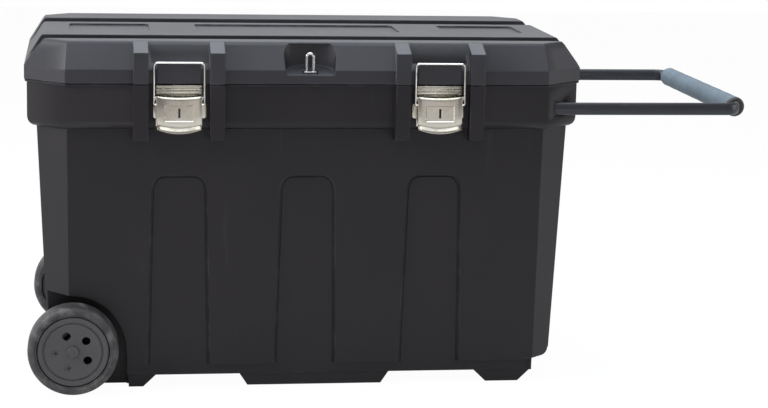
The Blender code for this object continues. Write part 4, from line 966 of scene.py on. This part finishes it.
@dataclass
class Wheels:
    """Two wheels: a moulded hub, a soft tyre with a rounded shoulder and a pressed-on cap."""

    paints: Paintbox
    axle_x: float = -0.400
    radius: float = 0.077
    face: float = 0.2885
    width: float = 0.054
    shoulder: float = 0.0105
    holes: int = 5
    open_holes: int = 3
    first_hole_deg: float = 112.0
    hole_circle: float = 0.029
    hole_radius: float = 0.0073
    hole_depth: float = 0.012
    blind_share: float = 0.92
    blind_depth: float = 0.0046
    cross_half: float = 0.0042
    cross_width_half: float = 0.0011
    cross_depth: float = 0.0068
    hole_round: float = 0.0004
    steps: int = 96
    cap_steps: int = 48

    def make(self) -> None:
        """Build both wheels."""
        for end in End:
            name = end.name.lower()
            centre = (self.axle_x, end.value * self.face, self.radius)
            body = "wheel_" + name
            hub = self.make_hub(centre, end.value)
            hang(hub, "hub_" + name, self.paints.wheel, body, "wheel_hub_" + name)
            tyre = turned(self.tyre_outline(), centre, end.value, self.steps)
            hang(tyre, "tyre_" + name, self.paints.tyre, body, "wheel_tyre_" + name)
            cap = turned(self.cap_outline(), centre, end.value, self.cap_steps)
            hang(cap, "cap_" + name, self.paints.wheel, body, "axle_cap_" + name)

    def hub_outline(self) -> list[Pair]:
        """The hub's section: dished face with two rings, rim with a seat for the tyre, and boss."""
        return [(0.0063, 0.0042), (0.0120, 0.0042), (0.0300, 0.0040), (0.0430, 0.0037), (0.0462, 0.0030),
                (0.0474, 0.0028), (0.0482, 0.0034), (0.0486, 0.0046), (0.0500, 0.0050), (0.0508, 0.0046),
                (0.0514, 0.0034), (0.0526, 0.0028), (0.0572, 0.0022), (0.0588, 0.0022), (0.0598, 0.0028),
                (0.0604, 0.0040), (0.0606, 0.0070), (0.0610, 0.0160), (0.0572, 0.0180), (0.0572, 0.0360),
                (0.0610, 0.0380), (0.0610, 0.0500), (0.0540, 0.0500), (0.0540, 0.0085), (0.0140, 0.0085),
                (0.0140, 0.0560), (0.0063, 0.0560)]

    def tyre_outline(self) -> list[Pair]:
        """Draw the tyre's section: a lip, a raised sidewall ring and round shoulders.

        Returns:
            The section.
        """
        s = self.shoulder
        lip = [(0.0613, 0.0068), (0.0616, 0.0034), (0.0624, 0.0018), (0.0636, 0.0014), (0.0645, 0.0018),
               (0.0652, 0.0007)]
        outer = arc((self.radius - s, s), s, -90, 0, steps=8)
        inner = arc((self.radius - s, self.width - s), s, 0, 90, steps=6)
        bore = [(0.0630, self.width), (0.0613, 0.0525), (0.0613, 0.0382), (0.0575, 0.0361), (0.0575, 0.0179),
                (0.0613, 0.0158)]
        return lip + outer + inner + bore

    def cap_outline(self) -> list[Pair]:
        """The cap's section: a low button in a ring."""
        return [(0.0, 0.0003), (0.0030, 0.0004), (0.0044, 0.0006), (0.0052, 0.0011), (0.0060, 0.0011),
                (0.0067, 0.0007), (0.0074, 0.0003), (0.0084, 0.0004), (0.0092, 0.0010), (0.0097, 0.0020),
                (0.0097, 0.0037), (0.0063, 0.0037), (0.0063, 0.0016), (0.0, 0.0016)]

    def make_hub(self, centre: Point, facing: int) -> bpy.types.Object:
        """Turn the hub, then bore its round holes, the last two of them blind with a cross slot.

        Args:
            centre: the axle at the outer face.
            facing: the sign of Y that it looks to.

        Returns:
            The hub.
        """
        hub = turned(self.hub_outline(), centre, facing, self.steps)
        x, y, z = centre
        for index in range(self.holes):
            angle = math.radians(self.first_hole_deg - 360.0 / self.holes * index)
            hole_x = x + self.hole_circle * math.cos(angle)
            hole_z = z + self.hole_circle * math.sin(angle)
            is_open = index < self.open_holes
            depth = self.hole_depth if is_open else self.blind_depth
            radius = self.hole_radius if is_open else self.hole_radius * self.blind_share
            carve(hub, peg((hole_x, y - facing * depth / 2, hole_z), radius, depth))
            if not is_open:
                self.cross_slot(hub, (hole_x, y, hole_z), facing)
        soften(hub, self.hole_round, segments=2, angle_deg=50.0)
        return hub

    def cross_slot(self, hub: bpy.types.Object, hole: Point, facing: int) -> None:
        """Cut a cross into the floor of a blind hole.

        Args:
            hub: the hub.
            hole: the hole's axis at the outer face.
            facing: the sign of Y that the hub looks to.
        """
        x, y, z = hole
        floor = y - facing * self.cross_depth
        long, short = self.cross_half, self.cross_width_half
        for wide, tall in ((long, short), (short, long)):
            carve(hub, block((x - wide, min(y, floor), z - tall), (x + wide, max(y, floor), z + tall)))


@dataclass
class PullHandle:
    """The bent flat-oval tube and its foam sleeve."""

    paints: Paintbox
    half_thickness: float = 0.0055
    half_height: float = 0.011
    bend_radius: float = 0.025
    bend_steps: int = 12
    bar_y: float = 0.2456
    height: float = 0.490
    sides: int = 28
    grip_radius: float = 0.0176
    grip_gap: float = 0.0012
    grip_round: float = 0.0055
    grip_dish: float = 0.0008
    grip_waves: int = 14
    grip_wave: float = 0.0004
    grip_steps: int = 48
    bore_gap: float = 0.0003
    overrun: float = 0.01
    end_facing: float = 0.35

    def make(self) -> None:
        """Build the tube, then the sleeve on its cross bar."""
        low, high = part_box("handle_frame")
        cross_x = float(high[0]) - self.half_thickness
        self.make_tube(float(low[0]), cross_x)
        self.make_sleeve(cross_x)

    @property
    def flat(self) -> Point:
        """The stretch that makes a round face the tube's oval."""
        return (1.0, 1.0, self.half_height / self.half_thickness)

    def make_tube(self, inner_x: float, cross_x: float) -> None:
        """Push the oval end face out, across and back.

        Args:
            inner_x: where both bars begin, inside the channels.
            cross_x: the centre line of the cross bar.
        """
        turn_x = cross_x - self.bend_radius
        turn_y = self.bar_y - self.bend_radius
        run = turn_x - inner_x
        upright, z, steps = (0.0, 0.0, 1.0), self.height, self.bend_steps
        tube = Rod((inner_x, -self.bar_y, z), (1.0, 0.0, 0.0), self.half_thickness, self.sides, self.flat)
        tube.straight(run, 0.0, 0.0).bend(90.0, (turn_x, -turn_y, z), upright, steps)
        tube.straight(0.0, 2 * turn_y, 0.0).bend(90.0, (turn_x, turn_y, z), upright, steps)
        item = tube.straight(-run, 0.0, 0.0).done()
        hang(item, "handle_tube", self.paints.handle, "handle", "handle_frame",
             angle_deg=50.0)

    def make_sleeve(self, cross_x: float) -> None:
        """Turn the foam sleeve with round ends and bore it for the tube; its end faces get the near-black
        rubber as painted shade.

        Args:
            cross_x: the centre line of the cross bar.
        """
        length = 2 * (self.bar_y - self.bend_radius - self.grip_gap)
        low_y = -length / 2
        r, end = self.grip_radius, self.grip_round
        near = arc((r - end, end), end, -90, 0, steps=6)
        far = arc((r - end, length - end), end, 0, 90, steps=6)
        waves = [(r - self.grip_wave * (i % 2), length * i / self.grip_waves)
                 for i in range(1, self.grip_waves)]
        outline = [(0.0, self.grip_dish)] + near + waves + far + [(0.0, length - self.grip_dish)]
        sleeve = turned(outline, (cross_x, low_y, self.height), -1, self.grip_steps)
        bore = Rod((cross_x, low_y - self.overrun, self.height), (0.0, 1.0, 0.0),
                   self.half_thickness + self.bore_gap, self.sides, self.flat)
        carve(sleeve, bore.straight(0.0, length + 2 * self.overrun, 0.0).done())
        hang(sleeve, "foam_sleeve", self.paints.foam, "handle", "foam_grip", angle_deg=50.0)
        # The foam's end faces get the near-black rubber: painted shade.
        touch_up(sleeve, self.paints.seal, lambda face: abs(face.normal.y) > self.end_facing)


@dataclass
class Staple:
    """The padlock staple: a round bent rod through a small foot plate."""

    paints: Paintbox
    rod: float = 0.0025
    rod_sides: int = 20
    half_width: float = 0.006
    bend_steps: int = 14
    plate_lift: float = 0.0070
    plate_thickness: float = 0.0020
    plate_round: float = 0.0008

    def make(self) -> None:
        """Bend the rod, shape the plate and join them."""
        low, high = ([float(value) for value in corner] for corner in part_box("padlock_staple"))
        middle_y = (low[1] + high[1]) / 2
        crown = high[2] - self.rod - self.half_width
        rod = Rod((-self.half_width, middle_y, low[2]), (0.0, 0.0, 1.0), self.rod, self.rod_sides)
        rod.straight(0.0, 0.0, crown - low[2])
        rod.bend(-180.0, (0.0, middle_y, crown), (0.0, -1.0, 0.0), self.bend_steps)
        bow = rod.straight(0.0, 0.0, low[2] - crown).done()
        plate_low = low[2] + self.plate_lift
        plate = block((low[0], low[1], plate_low), (high[0], high[1], plate_low + self.plate_thickness))
        soften(plate, self.plate_round, segments=3, angle_deg=35.0)
        item = merged(bow, plate)
        hang(item, "lock_staple", self.paints.staple, "tub", "padlock_staple",
             angle_deg=40.0)


@dataclass
class Latch:
    """One draw latch: a beaded base plate, a convex pressed lever and a wire bail."""

    paints: Paintbox
    side: Side
    centre_x: float = 0.2216
    pin_y: float = -0.279
    pin_z: float = 0.511
    sheet: float = 0.0012
    edge_round: float = 0.0004
    plate_back: float = -0.2708
    plate_top: float = 0.5334
    plate_low: float = 0.4630
    plate_half: float = 0.0388
    beads: int = 3
    bead: float = 0.0020
    bead_lead_share: float = 1.15
    bead_pitch: float = 0.0060
    wing_top: float = 0.5020
    wing_low: float = 0.4765
    wing_inner: float = 0.0077
    wing_outer: float = 0.0045
    wing_end_share: float = 0.80
    ear_x: float = 0.0389
    ear_nose: float = 0.0042
    ear_top: float = 0.0060
    lever_half: float = 0.0372
    lever_columns: int = 12
    crown_line: float = -0.0010
    crown_drop: float = 0.0022
    lip_line: float = 0.0450
    lip_lift: float = 0.0048
    rim_line: float = 0.0500
    rim_lift: float = 0.0022
    side_sweep: float = 0.0016
    pocket_top: float = 0.0105
    pocket_low: float = 0.0392
    pocket_columns: float = 4.2
    pocket_wall: float = 0.0016
    pocket_depth: float = 0.0020
    pocket_border: float = 0.0012
    key_half: float = 0.0018
    key_tall: float = 0.0160
    key_drop: float = 0.0245
    key_floor: float = 0.0040
    key_reach: float = 0.02
    key_slack: float = 0.0001
    key_steep: float = 0.5
    housing_half: float = 0.0060
    housing_tall_half: float = 0.0110
    housing_front: float = 0.0055
    housing_back: float = 0.0025
    cheek_inset: float = 0.0002
    bail_y: float = -0.283
    bail_z: float = 0.501
    bail_half: float = 0.0424
    bail_height: float = 0.0697
    bail_wire: float = 0.0016
    bail_sides: int = 16
    bail_corner: float = 0.006
    bail_foot: float = 0.0024
    bail_tip: float = 0.005
    bail_foot_steps: int = 5
    bail_corner_steps: int = 8

    def make(self) -> None:
        """Build the three pieces and hang each on its own body."""
        name = self.side.name.lower()
        plate = self.make_plate()
        hang(plate, "base_plate_" + name, self.paints.steel, "tub", "latch_plate_" + name)
        lever = self.make_lever()
        hang(lever, "pressed_lever_" + name, self.paints.steel, "lever_" + name,
             "latch_lever_" + name, angle_deg=40.0)
        # The keyway's walls and the housing's face behind it get near-black paint: painted shade.
        touch_up(lever, self.paints.keyway_shade, self.in_keyway)
        bail = self.make_bail()
        hang(bail, "wire_bail_" + name, self.paints.wire, "bail_" + name,
             "latch_bail_" + name, angle_deg=60.0)

    @property
    def middle(self) -> float:
        """The latch's centre line."""
        return self.side.value * self.centre_x

    def from_pin(self, *offsets: Pair) -> list[Pair]:
        """Points of Y and Z, given by how far they lie in front of the pin and above it."""
        return [(self.pin_y - front, self.pin_z + rise) for front, rise in offsets]

    def thicken(self, item: bpy.types.Object, angle_deg: float) -> None:
        """Give an open sheet its thickness, front face first, and round its edges."""
        apply(item, "SOLIDIFY", thickness=self.sheet, offset=-1.0)
        soften(item, self.edge_round, segments=2, angle_deg=angle_deg)

    @staticmethod
    def face_front(item: bpy.types.Object) -> None:
        """Turn an open sheet's faces to the front.

        Args:
            item: the sheet.
        """
        pick(item)
        if sum(face.normal.y * face.area for face in item.data.polygons) > 0.0:
            begin()
            bpy.ops.mesh.flip_normals()
            bpy.ops.object.mode_set(mode="OBJECT")

    def make_plate(self) -> bpy.types.Object:
        """Draw the plate's section with its beads, push it across, add wings and ears.

        Returns:
            The plate.
        """
        front = self.plate_back - self.sheet
        section = [(front, self.plate_top)]
        for row in range(self.beads):
            middle = self.plate_top - self.bead * self.bead_lead_share - row * self.bead_pitch
            section += [(front - self.bead * math.cos(a), middle + self.bead * math.sin(a))
                        for a in map(math.radians, range(90, -91, -30))]
        section += [(front, z) for z in (self.wing_top, self.wing_low, self.plate_low)]
        left = self.middle - self.plate_half
        item = swept([(left, y, z) for y, z in section], (2 * self.plate_half, 0.0, 0.0))
        for way in (-1, 1):
            self.push_wing(item.location.copy(), way)
        tidy_mesh()
        self.face_front(item)
        self.thicken(item, angle_deg=50.0)
        return merged(item, *self.make_ears(front))

    def push_wing(self, here: Vector, way: int) -> None:
        """Push one side edge of the plate out into a wing that narrows at its end.

        Args:
            here: the plate's place.
            way: the sign of X of that side.
        """
        edge_x = self.middle + way * self.plate_half
        reach = self.wing_inner if way == -self.side.value else self.wing_outer
        low, high = self.wing_low - NEAR, self.wing_top + NEAR
        choose(lambda edge: all(abs(v.co.x + here.x - edge_x) < NEAR and low < v.co.z + here.z < high
                                for v in edge.verts), "EDGE")
        for _ in range(2):
            push((way * reach / 2, 0.0, 0.0))
        bpy.ops.transform.resize(value=(1.0, 1.0, self.wing_end_share))

    def make_ears(self, front: float) -> list[bpy.types.Object]:
        """Make the two ears that hold the pin, each a round-nosed tab.

        Args:
            front: the Y of the plate's front face.

        Returns:
            The ears.
        """
        nose = arc((self.pin_y, self.pin_z), self.ear_nose, 270, 90, steps=12)
        outline = [(front, self.pin_z - self.ear_nose)] + nose + [(front, self.pin_z + self.ear_top)]
        return [tab(outline, self.middle + way * self.ear_x, way * self.sheet) for way in (-1, 1)]

    def lever_section(self) -> list[Pair]:
        """The lever's face from its rolled top edge, over the crown, to the flared lip."""
        return self.from_pin((0.0010, 0.0030), (0.0030, 0.0044), (0.0052, 0.0038), (0.0066, 0.0020),
                             (0.0072, -0.0015), (0.0078, -0.0060), (0.0082, -0.0110), (0.0085, -0.0180),
                             (0.0085, -0.0300), (0.0082, -0.0390), (0.0074, -0.0450), (0.0064, -0.0484),
                             (0.0068, -0.0500), (0.0088, -0.0540), (0.0108, -0.0590))

    def cheek_outline(self) -> list[Pair]:
        """The outline of a cheek, from behind the pin down to the lever's waist and back."""
        return self.from_pin((-0.0040, 0.0030), (-0.0040, -0.0160), (0.0020, -0.0300), (0.0050, -0.0420),
                             (0.0060, -0.0420), (0.0062, -0.0050), (0.0040, 0.0030))

    def make_lever(self) -> bpy.types.Object:
        """Press the lever from a sheet, slot it and add the lock housing and both cheeks.

        Returns:
            The lever.
        """
        left = self.middle - self.lever_half
        step = 2 * self.lever_half / self.lever_columns
        item = swept([(left, y, z) for y, z in self.lever_section()], (step, 0.0, 0.0), self.lever_columns)
        self.bow_sheet(item.location.copy(), left, step)
        tidy_mesh()
        self.face_front(item)
        self.press_pocket(item)
        self.thicken(item, angle_deg=55.0)
        housing = self.make_housing(item)
        cheeks = [tab(self.cheek_outline(), self.middle + way * (self.lever_half - self.cheek_inset),
                      way * self.sheet) for way in (-1, 1)]
        return merged(item, housing, *cheeks)

    def bow_sheet(self, here: Vector, left: float, step: float) -> None:
        """Bow the sheet: its top edge lower in the middle, its lip higher at the ends, its sides set back.

        Args:
            here: the sheet's place.
            left: the X of its first column.
            step: how far apart the columns are.
        """
        for column in range(self.lever_columns + 1):
            across = left + column * step
            share = (2.0 * column / self.lever_columns - 1.0) ** 2
            for sign, line, lift in ((1, self.crown_line, self.crown_drop * (share - 1.0)),
                                     (-1, self.lip_line, self.lip_lift * share),
                                     (-1, self.rim_line, self.rim_lift * share)):
                choose(lambda v: abs(v.co.x + here.x - across) < step / 4 and
                       sign * (v.co.z + here.z - (self.pin_z - line)) > 0.0)
                bpy.ops.transform.translate(value=(0.0, 0.0, lift))
            choose(lambda v: abs(v.co.x + here.x - across) < step / 4)
            bpy.ops.transform.translate(value=(0.0, self.side_sweep * share ** 2, 0.0))

    def press_pocket(self, item: bpy.types.Object) -> None:
        """Inset the middle faces of the lever's face and press them in.

        Args:
            item: the lever's sheet.
        """
        here = item.location.copy()
        low, high = self.pin_z - self.pocket_low, self.pin_z - self.pocket_top
        half = 2 * self.lever_half / self.lever_columns * self.pocket_columns
        with editing(item, lambda face: abs(face.calc_center_median().x + here.x - self.middle) < half and
                     low < face.calc_center_median().z + here.z < high, "FACE"):
            bpy.ops.mesh.inset(thickness=self.pocket_wall, depth=-self.pocket_depth, use_even_offset=True)
            bpy.ops.mesh.inset(thickness=self.pocket_border, depth=0.0, use_even_offset=True)

    def make_housing(self, lever: bpy.types.Object) -> bpy.types.Object:
        """Make the lock housing behind the lever's face and cut the keyway through both.

        Args:
            lever: the lever's sheet.

        Returns:
            The housing.
        """
        x, y, z = self.middle, self.pin_y, self.pin_z - self.key_drop
        half, tall = self.housing_half, self.housing_tall_half
        housing = block((x - half, y - self.housing_front, z - tall),
                        (x + half, y - self.housing_back, z + tall))
        for item in (lever, housing):
            carve(item, block((x - self.key_half, y - self.key_reach, z - self.key_tall / 2),
                              (x + self.key_half, y - self.key_floor, z + self.key_tall / 2)))
        return housing

    def in_keyway(self, face: object) -> bool:
        """Tell whether a face lines the keyway, whose walls and floor get near-black paint as painted shade.

        Args:
            face: the face.

        Returns:
            True on the slot's walls and floor.
        """
        x, y, z = face.calc_center_median()
        slack = self.key_slack
        inside = (abs(x - self.middle) < self.key_half + slack and
                  abs(z - self.pin_z + self.key_drop) < self.key_tall / 2 + slack)
        is_wall = abs(face.normal.x) + abs(face.normal.z) > self.key_steep
        is_floor = abs(y - self.pin_y + self.key_floor) < 2 * slack
        return inside and (is_wall or is_floor)

    def make_bail(self) -> bpy.types.Object:
        """Bend the wire: tip inwards, up the outside, across the top and down again.

        Returns:
            The bail.
        """
        foot, corner, half, height = self.bail_foot, self.bail_corner, self.bail_half, self.bail_height
        lean = (self.pin_y - self.bail_y) / height
        up = Vector((0.0, lean, 1.0))
        out = tuple(Vector((0.0, -1.0, lean)).normalized())
        start = Vector((self.middle - half, self.bail_y, self.bail_z))
        tip = Vector((foot - self.bail_tip, 0.0, 0.0))
        rise = up * (height - corner - foot)
        across = Vector((2 * (half - corner), 0.0, 0.0))
        few, many = self.bail_foot_steps, self.bail_corner_steps
        bends = ((foot, foot, few, rise), (corner, height - corner, many, across),
                 (2 * half - corner, height - corner, many, -rise), (2 * half - foot, foot, few, tip))
        inner = start + Vector((self.bail_tip, 0.0, 0.0))
        rod = Rod(tuple(inner), (-1.0, 0.0, 0.0), self.bail_wire, self.bail_sides)
        rod.straight(*tip)
        for x, z, steps, run in bends:
            rod.bend(-90.0, tuple(start + Vector((x, 0.0, 0.0)) + up * z), out, steps)
            rod.straight(*run)
        return rod.done()


# Studio

@dataclass
class Studio:
    """The floor, the lamps, the pale surroundings and the camera."""

    camera_at: Point = (-0.3807, -3.8224, 0.9853)
    turn_deg: float = -8.18529
    tilt_deg: float = -10.38423
    roll_deg: float = 1.21412
    lens_mm: float = 99.458
    sensor_mm: float = 36.0
    floor_side: float = 14.0
    floor_drop: float = 0.0004
    floor_clouds: Pattern = Pattern(3.0, 2.0)
    floor_tones: Pair = (0.78, 0.82)
    floor_roughness: float = 0.9
    floor_white: float = 0.97
    floor_mirrored: float = 0.25
    room: Colour = (1.0, 0.95, 0.99)
    room_strength: float = 0.33
    backdrop_band: Pair = (0.25, 0.75)

    def make(self) -> None:
        """Build the whole studio."""
        self.make_floor()
        self.make_world()
        self.make_lamps()
        self.make_camera()

    def make_floor(self) -> None:
        """Lay a pale floor that shows white to the camera and keeps a soft shadow."""
        deselect()
        bpy.ops.mesh.primitive_plane_add(size=self.floor_side, location=(0.0, 0.0, -self.floor_drop))
        floor = bpy.context.object
        floor.name = "studio_floor"
        sheet = ShaderSheet("floor_paint")
        paint = sheet.toned(self.floor_clouds.on(sheet), WHITE, self.floor_tones)
        sheet.finish(Base_Color=paint, Roughness=self.floor_roughness)
        white = sheet.node("ShaderNodeEmission", {}, {"Strength": 1.0})
        share = sheet.is_ray("Is Camera Ray") * self.floor_white + sheet.is_mirrored() * self.floor_mirrored
        sheet.show(share, Wire(sheet, sheet.shader.outputs[0]), white, "Material Output")
        floor.data.materials.append(sheet.material)

    def make_world(self) -> None:
        """Make a dim room in front and a white backdrop behind, for the camera and for mirrored rays."""
        world = bpy.data.worlds.new("studio_world")
        world.use_nodes = True
        sheet = Sheet(world.node_tree, "Generated")
        room = sheet.tree.nodes["Background"]
        room.inputs["Color"].default_value = (*self.room, 1.0)
        room.inputs["Strength"].default_value = self.room_strength
        backdrop = sheet.node("ShaderNodeBackground", {}, {"Color": (*WHITE, 1.0)})
        depth = sheet.node("ShaderNodeSeparateXYZ", {}, {0: sheet.place}, "Y")
        behind = sheet.between(depth, *self.backdrop_band)
        share = sheet.is_ray("Is Camera Ray") + sheet.is_mirrored() * behind
        sheet.show(share, Wire(sheet, room.outputs[0]), backdrop, "World Output")
        bpy.context.scene.world = world

    def make_lamps(self) -> None:
        """Hang soft lamps above, over the front, on the left at two heights, on the right and in front."""
        self.lamp("over_lamp", (0.0, 0.2, 2.4), (0.0, 0.0, 0.5), 2.6, 108.0, (0.84, 0.91, 1.0))
        self.lamp("brow_lamp", (0.3, -2.6, 3.0), (0.0, 0.0, 0.5), 1.6, 24.0, (0.90, 0.95, 1.0))
        self.lamp("key_lamp", (-2.9, -0.8, 2.1), (-0.4, 0.0, 0.5), 1.4, 112.0, (0.97, 0.98, 1.0))
        self.lamp("low_lamp", (-3.0, -0.6, 0.7), (-0.4, 0.0, 0.3), 1.4, 12.0, (0.98, 0.98, 1.0))
        self.lamp("side_lamp", (3.2, -0.8, 0.9), (0.0, 0.0, 0.3), 1.4, 26.0, (1.0, 0.98, 0.98))
        self.lamp("fill_lamp", (0.6, -3.8, 0.7), (0.0, 0.0, 0.3), 1.8, 7.0, (1.0, 0.95, 0.96))

    def lamp(self, name: str, at: Point, aim: Point, size: float, watts: float, colour: Colour) -> None:
        """Hang one square soft lamp.

        Args:
            name: the lamp's name.
            at: where it hangs.
            aim: the point that it faces.
            size: its side.
            watts: its power.
            colour: its colour.
        """
        deselect()
        bpy.ops.object.light_add(type="AREA", location=at)
        item = bpy.context.object
        item.name = name
        item.data.size = size
        item.data.energy = watts
        item.data.color = colour
        item.rotation_euler = (Vector(aim) - Vector(at)).to_track_quat("-Z", "Y").to_euler()

    def make_camera(self) -> None:
        """Place the camera where it was found to stand for the photograph."""
        data = bpy.data.cameras.new("photo_camera")
        camera = bpy.data.objects.new("photo_camera", data)
        bpy.context.scene.collection.objects.link(camera)
        data.lens = self.lens_mm
        data.sensor_width = self.sensor_mm
        data.sensor_fit = "HORIZONTAL"
        turns = ((self.turn_deg, "Z"), (90.0 + self.tilt_deg, "X"), (self.roll_deg, "Z"))
        first, second, third = (Matrix.Rotation(math.radians(angle), 4, axis) for angle, axis in turns)
        camera.matrix_world = Matrix.Translation(self.camera_at) @ first @ second @ third
        bpy.context.scene.camera = camera


def main() -> None:
    """Build the studio and every piece of the toolbox, in order."""
    logging.basicConfig(level=logging.INFO, format="%(name)s: %(message)s")
    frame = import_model()
    bpy.context.scene.view_settings.view_transform = "Standard"
    Studio().make()
    paints = Paintbox()
    nodes = frame["nodes"]
    Fittings(paints, nodes).make()
    Shells(paints, nodes).make()
    Wheels(paints).make()
    PullHandle(paints).make()
    Staple(paints).make()
    for side in Side:
        Latch(paints, side).make()
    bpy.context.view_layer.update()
    deselect()


if __name__ == "__main__":
    main()
